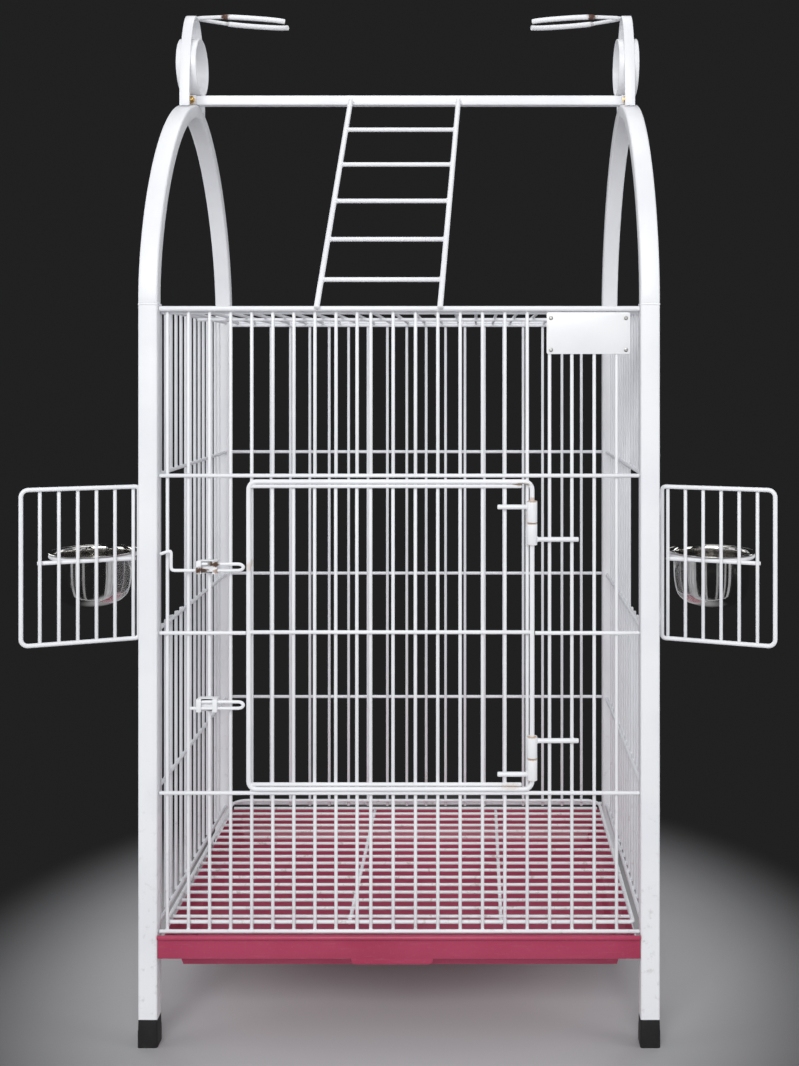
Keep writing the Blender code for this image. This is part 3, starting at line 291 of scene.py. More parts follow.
def dressed(thing, name, *nodes, body="cage", slot="powder_coat", coat=powder_white, sharp=38):
    """Names a finished piece, gives it its coat and lets it stand for its CAD nodes."""
    pick(thing)
    bpy.ops.object.transform_apply(location=True, rotation=True, scale=True)
    bpy.ops.object.shade_smooth_by_angle(angle=math.radians(sharp))
    thing.name = thing.data.name = name
    thing.data.materials.clear()
    thing.data.materials.append(coat)
    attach(thing, body)
    if nodes:
        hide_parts(*nodes)


TUBE_WIDE, TUBE_DEEP, TUBE_CORNER = 0.022, 0.020, 0.0024
FACE_X, FACE_FRONT_Y, FACE_BACK_Y = 0.300, -0.20157, 0.21843
MIDDLE_Y = (FACE_FRONT_Y + FACE_BACK_Y) / 2
POST_X = FACE_X - TUBE_WIDE / 2
POST_FRONT_Y, POST_BACK_Y = FACE_FRONT_Y + TUBE_DEEP / 2, FACE_BACK_Y - TUBE_DEEP / 2
POST_FOOT, POST_TOP = 0.0203, 0.854
WELD_GAP = 0.0003
BETWEEN_X = FACE_X - TUBE_WIDE - WELD_GAP
BETWEEN_FRONT_Y, BETWEEN_BACK_Y = FACE_FRONT_Y + TUBE_DEEP + WELD_GAP, FACE_BACK_Y - TUBE_DEEP - WELD_GAP


SIDES = (("left", -1), ("right", 1))


def at_each_post(first, name, node, **look):
    """Copies what was made for the front left post to all four of them."""
    for end, y in (("front", POST_FRONT_Y), ("back", POST_BACK_Y)):
        for side, sx in SIDES:
            made = copy_of(first, (sx * POST_X + POST_X, y - POST_FRONT_Y, 0))
            dressed(made, f"{name}_{end}_{side}", f"{node}_{end}_{side}", **look)
    bpy.data.objects.remove(first)


post_high = (-FACE_X + TUBE_WIDE, FACE_FRONT_Y + TUBE_DEEP, POST_TOP)
post = square_tube((-FACE_X, FACE_FRONT_Y, POST_FOOT), post_high, Z, TUBE_CORNER)
at_each_post(post, "post_tube", "post")


# Foot caps: black rubber shoes, moulded with a collar round the tube's end, a plug inside it
# and a slightly wider tread, dusty where they meet the floor.

rubber_dust, given, out = new_group("rubber_dust", {
    "Rubber": "Color", "Dust": "Color", "Dust Amount": "Float", "Dust Top": "Float"})
height = add_node(rubber_dust, "SeparateXYZ", {0: given["Place"]}).outputs["Z"]
settled = ramped(rubber_dust, height, 0.0, given["Dust Top"], 1.0, 0.25, "LINEAR")
grain = noise(rubber_dust, given["Place"], scale=240.0, detail=5.0, roughness=0.7)
dusty = math_node(rubber_dust, "MULTIPLY", ramped(rubber_dust, grain, low=0.42, high=0.72), settled)
dusty = math_node(rubber_dust, "MULTIPLY", dusty, given["Dust Amount"])
feed(rubber_dust, out, {
    "Colour": mixed(rubber_dust, dusty, given["Rubber"], given["Dust"]),
    "Roughness": math_node(rubber_dust, "MULTIPLY_ADD", dusty, 0.3, 0.55), "Height": grain})

black_rubber = finish("dusty_black_rubber", rubber_dust, {
    "Rubber": (0.006, 0.006, 0.007, 1), "Dust": (0.10, 0.095, 0.09, 1), "Dust Amount": 0.20, "Dust Top": 0.005},
    (0.2, 0.0005))

SHOE_PROUD, SHOE_TREAD = 0.0006, 0.0022
SHOE_STEPS = ((0.0, 0.965), (0.0030, 1.0), (0.0132, 1.0), (0.0016, 0.975), (0.0, 0.885), (0.0128, 0.97))
shoe = block((-FACE_X - SHOE_PROUD, FACE_FRONT_Y - SHOE_PROUD, 0.0),
             (-FACE_X + TUBE_WIDE + SHOE_PROUD, FACE_FRONT_Y + TUBE_DEEP + SHOE_PROUD, SHOE_TREAD))
rounded(shoe, Z, 0.0026)
with editing():
    for rise, grow in SHOE_STEPS:
        choose(shoe, "FACE", lambda middle, normal: normal.z > 0.9 and middle.z > 0.002)
        lifted((0, 0, rise))
        bpy.ops.transform.resize(value=(grow, grow, 1), center_override=(-POST_X, POST_FRONT_Y, 0))
eased(shoe, 0.0005)
at_each_post(shoe, "foot_shoe", "foot_cap", slot="rubber", coat=black_rubber)


# Arches: flatter tube of the same width rolled into a tall arch, a little pointed at the crown,
# one over each side of the cage. Each foot stands on a cap plate, welded all round to its post.

def band(path, x, width, thickness, closed=False):
    """A strip or bar that follows a path of (y, z) points, widened along X and thickened."""
    made = started(bpy.ops.mesh.primitive_circle_add, vertices=len(path))
    for vertex, (y, z) in zip(made.data.vertices, path):
        vertex.co = (x - width / 2, y, z)
    with editing():
        if not closed:
            first, last = Vector((x - width / 2, *path[0])), Vector((x - width / 2, *path[-1]))
            choose(made, "EDGE", lambda middle, way: (middle - (first + last) / 2).length < 1e-5)
            bpy.ops.mesh.delete(type="EDGE")
        bpy.ops.mesh.select_all(action="SELECT")
        lifted((width, 0, 0))
    modified(made, "SOLIDIFY", thickness=thickness, offset=0, use_even_offset=True)
    with editing():
        bpy.ops.mesh.select_all(action="SELECT")
        bpy.ops.mesh.normals_make_consistent(inside=False)
    return made


def over(half_depth, spring, rise, power, foot, steps):
    """A superellipse from front to back over the cage's middle, on straight legs, as (y, z)."""
    points = []
    for i in range(steps + 1):
        turn = math.pi * i / steps
        across, up = math.cos(turn), math.sin(turn)
        y = -math.copysign(abs(across) ** (2 / power), across) * half_depth
        points.append((MIDDLE_Y + y, spring + abs(up) ** (2 / power) * rise))
    return [(points[0][0], foot)] + points + [(points[-1][0], foot)]


def fused(parts):
    """Joins tubes, wires and beads into the one piece that the welder makes of them."""
    bpy.ops.object.select_all(action="DESELECT")
    for part in parts:
        part.select_set(True)
    bpy.context.view_layer.objects.active = parts[0]
    bpy.ops.object.join()
    return bpy.context.object


ARCH_DEEP, ARCH_FOOT, ARCH_SPRING = 0.017, 0.8550, 0.8663
ARCH_HALF, ARCH_RISE = (FACE_BACK_Y - FACE_FRONT_Y - ARCH_DEEP) / 2, 0.2632 - ARCH_DEEP / 2
CAP_LOW, CAP_HIGH, CAP_PROUD = 0.8536, 0.8562, 0.0005
half_cap = Vector((TUBE_WIDE / 2 + CAP_PROUD, TUBE_DEEP / 2 + CAP_PROUD, 0))
for side, sx in SIDES:
    x = sx * POST_X
    arch = band(over(ARCH_HALF, ARCH_SPRING, ARCH_RISE, 1.7, ARCH_FOOT, 60), x, TUBE_WIDE, ARCH_DEEP)
    eased(arch, TUBE_CORNER, 4)
    parts = [arch]
    for y in (POST_FRONT_Y, POST_BACK_Y):
        cap_plate = block(Vector((x, y, CAP_LOW)) - half_cap, Vector((x, y, CAP_HIGH)) + half_cap)
        rounded(cap_plate, Z, TUBE_CORNER, 4)
        eased(cap_plate, 0.0010, 3)
        parts.append(cap_plate)
    dressed(fused(parts), f"arch_tube_{side}", f"arch_{side}")


# Perch bar: a 12.7 mm square tube from crown to crown, held at each end by a lug in front of it
# and a brass screw through both.

BAR_END_X, BAR_Z, HALF_BAR = 0.2925, 1.13615, 0.00635
BAR_LOW, BAR_TOP, BAR_FRONT_Y = BAR_Z - HALF_BAR, BAR_Z + HALF_BAR, MIDDLE_Y - HALF_BAR
CROWN_X = 0.2875

bar = square_tube((-BAR_END_X, BAR_FRONT_Y, BAR_LOW), (BAR_END_X, MIDDLE_Y + HALF_BAR, BAR_TOP), X, 0.0015, 4)
dressed(bar, "perch_tube", "perch_bar")

HALF_LUG, LUG_THICK, SCREW_RUST = 0.007, 0.003, (0.42, 0.26, 0.10, 1)
coat_round_screw = white_coat("powder_white_by_screw", soil=0.0, rust=[
    ((x, -0.0012, BAR_Z - 0.003), (0.007, 0.004, 0.007), amount, SCREW_RUST)
    for x, amount in ((-CROWN_X, 0.7), (CROWN_X, 0.5))])
for side, sx in SIDES:
    x = sx * CROWN_X
    lug = block((x - HALF_LUG, BAR_FRONT_Y - WELD_GAP - LUG_THICK, BAR_LOW),
                (x + HALF_LUG, BAR_FRONT_Y - WELD_GAP, BAR_TOP))
    eased(lug, 0.0007, 3)
    dressed(lug, f"perch_lug_{side}", f"bar_lug_{side}", coat=coat_round_screw)

tarnish, given, out = new_group("tarnish", {
    "Bright": "Color", "Dull": "Color", "Grain Scale": "Float", "Roughness": "Float"})
patches = noise(tarnish, given["Place"], given["Grain Scale"], detail=4.0, roughness=0.6)
dulled = ramped(tarnish, patches, low=0.40, high=0.64)
feed(tarnish, out, {
    "Colour": mixed(tarnish, dulled, given["Bright"], given["Dull"]),
    "Roughness": math_node(tarnish, "MULTIPLY_ADD", dulled, 0.25, given["Roughness"]), "Height": patches})

brass = finish("tarnished_brass", tarnish, {
    "Bright": (0.68, 0.46, 0.18, 1), "Dull": (0.30, 0.17, 0.06, 1), "Grain Scale": 420.0, "Roughness": 0.30},
    (0.15, 0.0003), metallic=1.0)


def round_head(place, radius, depth, edge, rim, dish, sides):
    """The round head of a screw or rivet, facing the front, its edge rounded and its face dished."""
    made = started(bpy.ops.mesh.primitive_cylinder_add, vertices=sides, radius=radius, depth=depth,
                   location=place, rotation=(math.pi / 2, 0, 0))
    face_y = place[1] - depth / 2
    with editing():
        choose(made, "FACE", lambda middle, normal: normal.y < -0.9)
        bpy.ops.mesh.bevel(offset=edge, segments=4)
        choose(made, "FACE", lambda middle, normal: normal.y < -0.9 and middle.y < face_y + 0.0001)
        bpy.ops.mesh.inset(thickness=rim)
        lifted((0, dish, 0))
    return made


SCREW_R, SHANK_R = 0.0044, 0.0018
for side, sx in SIDES:
    screw = round_head((sx * CROWN_X, -0.0028, BAR_Z), SCREW_R, 0.0026, edge=0.0011, rim=0.0012, dish=0.0012,
                       sides=24)
    with editing():
        choose(screw, "FACE", lambda middle, normal: normal.y > 0.9)
        bpy.ops.mesh.inset(thickness=SCREW_R - SHANK_R)
        lifted((0, 0.006, 0))
    dressed(screw, f"brass_screw_{side}", f"bar_screw_{side}", slot="brass", coat=brass)


# Ladder: two 6.5 mm rods leaning from the perch bar on to the front top rail, with five thinner
# rungs welded between them, all coated in one.

def rod(start, end, radius, sides=12, soft=0.4):
    """A straight length of round wire with filed ends."""
    start, end = Vector(start), Vector(end)
    made = started(bpy.ops.mesh.primitive_cylinder_add, vertices=sides, radius=radius,
                   depth=(end - start).length)
    with editing():
        choose(made, "FACE", along(Z))
        bpy.ops.mesh.bevel(offset=radius * soft, segments=2)
    turn = (end - start).to_track_quat("Z", "Y").to_matrix().to_4x4()
    made.data.transform(Matrix.Translation((start + end) / 2) @ turn)
    return made


def nugget(place, size):
    """The small bead that a spot weld squeezes out where two wires cross."""
    return started(bpy.ops.mesh.primitive_uv_sphere_add, size, segments=8, ring_count=5, radius=1,
                   location=place)


def repeated(part, moves):
    """The part where it is, and a copy of it at each move."""
    return [part] + [copy_of(part, move) for move in moves]


LADDER_HALF, LADDER_R, RUNG_R = 0.071, 0.00325, 0.00275
FIRST_RUNG, RUNG_STEP = 0.163, 0.179
ladder_top, ladder_foot = Vector((-0.0053, -0.00147, BAR_Z)), Vector((-0.0238, -0.20124, 0.85033))
to_side = Vector((LADDER_HALF, 0, 0))
parts = [rod(ladder_top + side * to_side, ladder_foot + side * to_side, LADDER_R, 16) for side in (-1, 1)]
for i in range(5):
    middle = ladder_top.lerp(ladder_foot, FIRST_RUNG + RUNG_STEP * i)
    parts.append(rod(middle - to_side, middle + to_side, RUNG_R, 14))
    for side in (-1, 1):
        parts.append(nugget(middle + side * (to_side - Vector((0.0030, 0, 0))), (0.0022, 0.0036, 0.0036)))
dressed(fused(parts), "ladder_rods", "ladder")


# Hoops: a flat strip bent into a tall loop over each end of the bar, with a wide strip ring
# welded inside it for toys, the welds ground and coated over.

def arc(across, up, radius, first=0, sweep=360, steps=6):
    """Points of an arc round a centre. A whole turn leaves its last point out."""
    turns = [math.radians(first + sweep * i / steps) for i in range(steps + (sweep < 360))]
    return [(across + radius * math.cos(t), up + radius * math.sin(t)) for t in turns]


HOOP_HALF, HOOP_RISE = 0.0430, 0.1175
RING_R, RING_Z = 0.0363, 1.1801
for side, sx in SIDES:
    x = sx * CROWN_X
    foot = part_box(f"hoop_{side}")[0][2] + 0.0002
    strap = band(over(HOOP_HALF, BAR_LOW, HOOP_RISE, 2.0, foot, 48), x, 0.013, 0.003)
    eased(strap, 0.0007)
    ring = band(arc(MIDDLE_Y, RING_Z, RING_R, steps=56), x, 0.026, 0.0020, closed=True)
    eased(ring, 0.0006)
    parts = [strap, ring]
    for way in (-1, 1):
        parts.append(nugget((x, MIDDLE_Y + way * 0.0372, 1.1840), (0.0052, 0.0013, 0.0050)))
    parts.append(nugget((x - 0.004, MIDDLE_Y, 1.1436), (0.0040, 0.0036, 0.0012)))
    dressed(fused(parts), f"hoop_strap_{side}", f"hoop_{side}")


# Cup forks: one wire bent double and welded under the hoop's crown, thin at the neck and
# thicker along the two tines, whose ends close in. The weld has scorched the coat at the neck.

def bent(points, radius, widths=None, closed=False, sides=12):
    """A round wire bent along points. widths are shares of the radius at each point."""
    bpy.ops.object.select_all(action="DESELECT")
    bpy.ops.curve.primitive_nurbs_path_add()
    made = bpy.context.object
    made.data.splines.clear()
    line = made.data.splines.new("POLY")
    line.points.add(len(points) - 1)
    for i, point in enumerate(points):
        line.points[i].co = (*point, 1)
        line.points[i].radius = widths[i] if widths else 1
    line.use_cyclic_u = closed
    made.data.bevel_depth = radius
    made.data.bevel_resolution = (sides - 4) // 2
    made.data.use_fill_caps = not closed
    bpy.ops.object.convert(target="MESH")
    made = bpy.context.object
    if not closed:
        with editing():
            bpy.ops.mesh.select_mode(type="FACE")
            bpy.ops.mesh.select_all(action="DESELECT")
            mesh = bmesh.from_edit_mesh(made.data)
            for face in mesh.faces:
                face.select_set(len(face.verts) > 4)
            bmesh.update_edit_mesh(made.data)
            bpy.ops.mesh.bevel(offset=radius * 0.4, segments=2)
    return made


def through(points, steps=4):
    """More points on a smooth line through the given ones, each a tuple of any length."""
    made = []
    count = len(points)
    for i in range(count - 1):
        p0, p1, p2, p3 = points[max(i - 1, 0)], points[i], points[i + 1], points[min(i + 2, count - 1)]
        for j in range(steps):
            t = j / steps
            made.append(tuple(
                0.5 * (2 * b + (c - a) * t + (2 * a - 5 * b + 4 * c - d) * t * t
                       + (3 * b - a - 3 * c + d) * t ** 3) for a, b, c, d in zip(p0, p1, p2, p3)))
    return made + [points[-1]]


# each point's share of the fork's length and of its half width, and of the wire's radius
FORK_PLAN = [
    (0.0, 0.08, 0.74), (0.02, 0.22, 0.74), (0.07, 0.34, 0.74), (0.296, 0.82, 0.76), (0.32, 0.86, 1.0),
    (0.47, 0.97, 1.0), (0.62, 1.0, 1.0), (0.80, 0.97, 1.0), (0.93, 0.88, 1.0), (1.0, 0.72, 1.0),
]
FORK_NECK, FORK_LONG, FORK_HALF, FORK_DROP, FORK_R = (0.2783, 1.24555), 0.115, 0.019, 0.008, 0.00325
SCORCH = (0.10, 0.045, 0.028, 1)
for side, sx in SIDES:
    chain = through([(length, -spread, width) for length, spread, width in FORK_PLAN[::-1]] + FORK_PLAN)
    points = [(sx * (FORK_NECK[0] - length * FORK_LONG), MIDDLE_Y + spread * FORK_HALF,
               FORK_NECK[1] - length * FORK_DROP) for length, spread, _ in chain]
    fork = bent(points, FORK_R, [width for _, _, width in chain], sides=14)
    weld = nugget((sx * 0.2790, MIDDLE_Y, 1.2460), (0.0026, 0.0052, 0.0024))
    scorched = white_coat(f"powder_white_scorched_{side}", soil=0.0, rust=[
        ((sx * 0.2405, MIDDLE_Y - 0.0160, 1.2435), (0.0070, 0.010, 0.010), 1.0, SCORCH),
        ((sx * 0.2440, MIDDLE_Y + 0.0150, 1.2435), (0.0030, 0.006, 0.006), 0.35, SCORCH)])
    dressed(fused([fork, weld]), f"fork_wire_{side}", f"cup_fork_{side}", coat=scorched)


# Front panel: 4 mm upright wires in two groups, spot welded behind cross rails that run from
# post to post, with the doorway cut across both groups. The ends of the cut wires are dipped in coat.

BAR_R, RAIL_R, TOP_RAIL_R = 0.0020, 0.00225, 0.0030
BEAD_LONG, BEAD_FLAT = 0.0029, 0.0016
WIRE_FOOT, WIRE_TOP = 0.1278, 0.8522
LEVELS = (0.130, 0.290, 0.475, 0.657, 0.850)
LEFT_BARS = [-0.2692 + 0.02443 * i for i in range(10)]
RIGHT_BARS = [0.2515 - 0.0259 * i for i in range(12)]
WHOLE_BARS, CUT_BARS = LEFT_BARS[:5] + RIGHT_BARS[:5], LEFT_BARS[5:] + RIGHT_BARS[:4:-1]


def row(places, axis, start, end, radius, sides=12):
    """Equal straight wires in a row along an axis, on which start and end have 0."""
    steps = [Vector([place if i == axis else 0 for i in range(3)]) for place in places]
    first = rod(Vector(start) + steps[0], Vector(end) + steps[0], radius, sides)
    return repeated(first, [step - steps[0] for step in steps[1:]])


def grille(wires, crossings, axis, long=BEAD_LONG, flat=BEAD_FLAT):
    """Welds wires together with a bead at each crossing, flat along the axis they touch on."""
    first = Vector(crossings[0])
    bead = nugget(first, [flat if i == axis else long for i in range(3)])
    return fused(wires + repeated(bead, [Vector(place) - first for place in crossings[1:]]))


bar_y, rail_y, top_y, weld_y = -0.18907, -0.19282, -0.19357, -0.19085
doorway_left, doorway_right, doorway_low, doorway_high = -0.17723, 0.15675, 0.2922, 0.6548
low_levels = LEVELS[0], LEVELS[1], LEVELS[3]
wires = row(WHOLE_BARS, X, (0, bar_y, WIRE_FOOT), (0, bar_y, WIRE_TOP), BAR_R)
wires += row(CUT_BARS, X, (0, bar_y, WIRE_FOOT), (0, bar_y, doorway_low), BAR_R)
wires += row(CUT_BARS, X, (0, bar_y, doorway_high), (0, bar_y, WIRE_TOP), BAR_R)
wires += row(low_levels, Z, (-BETWEEN_X, rail_y, 0), (BETWEEN_X, rail_y, 0), RAIL_R)
wires.append(rod((-BETWEEN_X, rail_y, LEVELS[2]), (doorway_left, rail_y, LEVELS[2]), RAIL_R))
wires.append(rod((doorway_right, rail_y, LEVELS[2]), (BETWEEN_X, rail_y, LEVELS[2]), RAIL_R))
wires.append(rod((-BETWEEN_X, top_y, LEVELS[4]), (BETWEEN_X, top_y, LEVELS[4]), TOP_RAIL_R, 16))
crossings = [(x, weld_y, z) for x in LEFT_BARS + RIGHT_BARS for z in low_levels + LEVELS[4:]]
crossings += [(x, weld_y, LEVELS[2]) for x in WHOLE_BARS]
OLD_RUST = (0.40, 0.24, 0.12, 1)
front_coat = white_coat("powder_white_front", soil=0.32, rust=[
    ((0.1479, -0.1920, 0.6060), (0.006, 0.004, 0.010), 0.35, OLD_RUST),
    ((-0.17148, -0.1920, 0.5560), (0.004, 0.004, 0.006), 0.35, OLD_RUST)])
dressed(grille(wires, crossings, Y), "front_wires", "front_jamb_left", "front_jamb_right",
        "front_grid_lower", "front_grid_upper", coat=front_coat)


# Back panel: eighteen upright wires with five cross rails welded over their outer side.

back_bars = [(i - 8.5) * 0.029 for i in range(18)]
bar_y, rail_y, weld_y = 0.20593, 0.20968, 0.20771
wires = row(back_bars, X, (0, bar_y, WIRE_FOOT), (0, bar_y, WIRE_TOP), BAR_R, 10)
wires += row(LEVELS, Z, (-BETWEEN_X, rail_y, 0), (BETWEEN_X, rail_y, 0), RAIL_R, 10)
crossings = [(x, weld_y, z) for x in back_bars for z in LEVELS]
# Painted shade: the back, side and roof wires take a greyer, bluer copy of the front's white coat, besides
# their soil low down.
inner_coat_painted_shade = white_coat("powder_white_inner_painted_shade", coat=(0.80, 0.815, 0.845, 1), soil=0.38)
dressed(grille(wires, crossings, Y), "back_wires", "back_panel", coat=inner_coat_painted_shade)


# Side panels: fourteen upright wires each with their rails inside. The first five are cut
# to leave the opening that the feeder door closes.

side_bars = [-0.17657 + 0.0246667 * (i + 1) for i in range(14)]
cut, whole = side_bars[:5], side_bars[5:]
opening_low, opening_high = 0.4772, 0.6548
for side, sx in SIDES:
    x, rail_x, weld_x = sx * 0.2875, sx * 0.28375, sx * 0.28574
    wires = row(whole, Y, (x, 0, WIRE_FOOT), (x, 0, WIRE_TOP), BAR_R, 10)
    wires += row(cut, Y, (x, 0, WIRE_FOOT), (x, 0, opening_low), BAR_R, 10)
    wires += row(cut, Y, (x, 0, opening_high), (x, 0, WIRE_TOP), BAR_R, 10)
    wires += row(LEVELS, Z, (rail_x, BETWEEN_FRONT_Y, 0), (rail_x, BETWEEN_BACK_Y, 0), RAIL_R, 10)
    crossings = [(weld_x, y, z) for y in side_bars for z in LEVELS]
    dressed(grille(wires, crossings, X), f"side_wires_{side}", f"side_panel_{side}", coat=inner_coat_painted_shade)


# Roof: twenty-two wires from front to back over three rails, of which the outer two lie
# against the front and back panels.

INNER_FRONT_Y, INNER_BACK_Y = -0.18452, 0.20138
roof_bars = [0.2662 * (2 * i / 21 - 1) for i in range(22)]
bar_z, rail_z, weld_z, overhang, middle_half = 0.84975, 0.846, 0.84777, 0.001, 0.2812
wires = row(roof_bars, X, (0, INNER_FRONT_Y - overhang, bar_z), (0, INNER_BACK_Y + overhang, bar_z), BAR_R, 10)
wires += row((INNER_FRONT_Y, INNER_BACK_Y), Y, (-BETWEEN_X, 0, rail_z), (BETWEEN_X, 0, rail_z), RAIL_R, 10)
wires.append(rod((-middle_half, MIDDLE_Y, rail_z), (middle_half, MIDDLE_Y, rail_z), RAIL_R, 10))
crossings = [(x, y, weld_z) for x in roof_bars for y in (INNER_FRONT_Y, MIDDLE_Y, INNER_BACK_Y)]
dressed(grille(wires, crossings, Z), "roof_wires", "roof_grille", coat=inner_coat_painted_shade)


# Floor grate: wires from side to side under a frame rod with rounded back corners, carried by
# two spines. Droppings have dulled its coat, and the coat is a greyer copy of the white, which is painted
# shade.

def bent_round(low, high, radii):
    """A rectangle with rounded corners, from the one where both values are highest, turning left."""
    corners = ((high[0], high[1]), (low[0], high[1]), (low[0], low[1]), (high[0], low[1]))
    points = []
    for i, ((across, up), radius) in enumerate(zip(corners, radii)):
        across += radius if across == low[0] else -radius
        up += radius if up == low[1] else -radius
        points += arc(across, up, radius, 90 * i, 90, 6 if radius > 0.005 else 3)
    return points


GRATE_HALF, LAST_HALF, GRATE_PITCH, SPINES = 0.2715, 0.2675, 0.0214389, (-0.060, 0.118)
frame_z, bar_z, spine_z = 0.1372, 0.13345, 0.1297
outline = bent_round((-GRATE_HALF, INNER_FRONT_Y), (GRATE_HALF, INNER_BACK_Y), (0.020, 0.020, 0.004, 0.004))
frame_rod = bent([(x, y, frame_z) for x, y in outline], RAIL_R, closed=True)
*grate_bars, last_bar = [INNER_FRONT_Y + GRATE_PITCH * i for i in range(1, 18)]
wires = row(grate_bars, Y, (-GRATE_HALF, 0, bar_z), (GRATE_HALF, 0, bar_z), BAR_R, 10)
wires.append(rod((-LAST_HALF, last_bar, bar_z), (LAST_HALF, last_bar, bar_z), BAR_R, 10))
wires += row(SPINES, X, (0, -0.17166, spine_z), (0, 0.18852, spine_z), RAIL_R, 10)
crossings = [(x, y, bar_z - BAR_R) for x in SPINES for y in grate_bars]
crossings += [(x, y, bar_z + BAR_R) for x in (-GRATE_HALF, GRATE_HALF) for y in grate_bars]
# Painted shade: a greyer copy of the white coat, with heavy soil spattered low down.
grate_coat_soil_and_shade = white_coat("powder_white_grate_soil_and_shade", coat=(0.80, 0.81, 0.83, 1), soil=0.55, soil_top=0.50)
dressed(fused([grille(wires, crossings, Z), frame_rod]), "grate_wires", "floor_grate", coat=grate_coat_soil_and_shade)


# Tray: folded from one sheet and enamelled crimson. Its ledges slide on the runners, and the
# lip in front has a rolled bead on top and a deeper pull in the middle.

enamel, given, out = new_group("scuffed_enamel", {
    "Enamel": "Color", "Faded": "Color", "Dust": "Color", "Dust Amount": "Float", "Roughness": "Float"})
clouds = noise(enamel, given["Place"], scale=7.0, detail=3.0)
tone = mixed(enamel, ramped(enamel, clouds, low=0.38, high=0.66), given["Enamel"], given["Faded"])
stretched = add_node(enamel, "Mapping", {"Vector": given["Place"], "Scale": (12.0, 160.0, 160.0)}).outputs[0]
scratches = ramped(enamel, noise(enamel, stretched, scale=3.0, detail=4.0, roughness=0.6), low=0.60, high=0.72)
dust = noise(enamel, given["Place"], scale=190.0, detail=6.0, roughness=0.7)
marks = math_node(enamel, "MAXIMUM", scratches, ramped(enamel, dust, low=0.55, high=0.70))
marks = math_node(enamel, "MULTIPLY", marks, given["Dust Amount"])
feed(enamel, out, {
    "Colour": mixed(enamel, marks, tone, given["Dust"]),
    "Roughness": math_node(enamel, "MULTIPLY_ADD", marks, 0.35, given["Roughness"]),
    "Height": noise(enamel, given["Place"], scale=420.0, detail=1.0)})

crimson = finish("crimson_enamel", enamel, {
    "Enamel": (0.38, 0.037, 0.090, 1), "Faded": (0.43, 0.050, 0.112, 1), "Dust": (0.50, 0.22, 0.26, 1),
    "Dust Amount": 0.16, "Roughness": 0.36}, (0.08, 0.0004))

PAN_HALF, PAN_FRONT_Y, PAN_BACK_Y = 0.272, -0.20007, 0.19793
LEDGE, PAN_DROP, PAN_TAPER = 0.015, 0.0165, 0.004
LIP_LOW, LIP_TOP = 0.1020, 0.1269
floor_half, floor_depth = PAN_HALF - LEDGE, (PAN_BACK_Y - PAN_FRONT_Y) / 2 - LEDGE
shrink = ((floor_half - PAN_TAPER) / floor_half, (floor_depth - PAN_TAPER) / floor_depth, 1)
pan = block((-PAN_HALF, PAN_FRONT_Y, 0.1026), (PAN_HALF, PAN_BACK_Y, 0.1255))
with editing():
    choose(pan, "FACE", lambda middle, normal: normal.z < -0.9)
    bpy.ops.mesh.inset(thickness=LEDGE)
    lifted((0, 0, -PAN_DROP))
    bpy.ops.transform.resize(value=shrink, center_override=(0, (PAN_FRONT_Y + PAN_BACK_Y) / 2, 0))
    choose(pan, "FACE", lambda middle, normal: normal.z > 0.9)
    bpy.ops.mesh.delete(type="FACE")
modified(pan, "SOLIDIFY", thickness=0.0012, offset=-1, use_even_offset=True)
eased(pan, 0.0005)
lip = block((-BETWEEN_X, -0.20085, LIP_LOW), (BETWEEN_X, -0.19935, LIP_TOP))
eased(lip, 0.0005)
bead = rod((-BETWEEN_X, -0.20215, LIP_TOP), (BETWEEN_X, -0.20215, LIP_TOP), 0.0026, 16, 0.2)
pull = block((-0.055, -0.20075, 0.0955), (0.039, -0.19945, 0.1040))
rounded(pull, Y, 0.0055, below=0.1)
eased(pull, 0.0004)
dressed(fused([pan, lip, bead, pull]), "tray_pan", "tray_floor", "tray_wall_front", "tray_wall_back",
        "tray_wall_left", "tray_wall_right", body="tray", slot="tray_enamel", coat=crimson)


# Tray runners: an angle of folded sheet each side, welded between the posts, with a stop
# turned up at the back. The tray has rubbed their edges.

def softened(node, width, ends=None, move=(0, 0, 0)):
    """A copy of a CAD node's mesh, welded up, its ends moved on to their seat, its edges rounded."""
    made = copy_of(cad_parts[node])
    for vertex in made.data.vertices:
        if ends and ends(vertex.co):
            vertex.co += Vector(move)
    made.parent = None
    for key in list(made.keys()):
        del made[key]
    pick(made)
    with editing():
        bpy.ops.mesh.select_all(action="SELECT")
        bpy.ops.mesh.remove_doubles(threshold=0.00001)
        bpy.ops.mesh.dissolve_limited(angle_limit=math.radians(2))
    if made.data.has_custom_normals:
        bpy.ops.mesh.customdata_custom_splitnormals_clear()
    eased(made, width)
    return made


for side, sx in SIDES:
    wall_x =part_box(f"tray_runner_{side}")[(sx + 1) // 2][0]
    angle = softened(f"tray_runner_{side}", 0.0003, ends=lambda place: abs(place.x - wall_x) < 0.0002,
                     move=(sx * BETWEEN_X - wall_x, 0, 0))
    # The runners share the grate's coat: painted shade in its greyer white, with soil.
    dressed(angle, f"runner_angle_{side}", f"tray_runner_{side}", coat=grate_coat_soil_and_shade)


# Main door: a 5.5 mm rod bent into a frame, whose right side is the hinge pin, with wires and
# two inner rails welded behind its front and a rail across the middle.

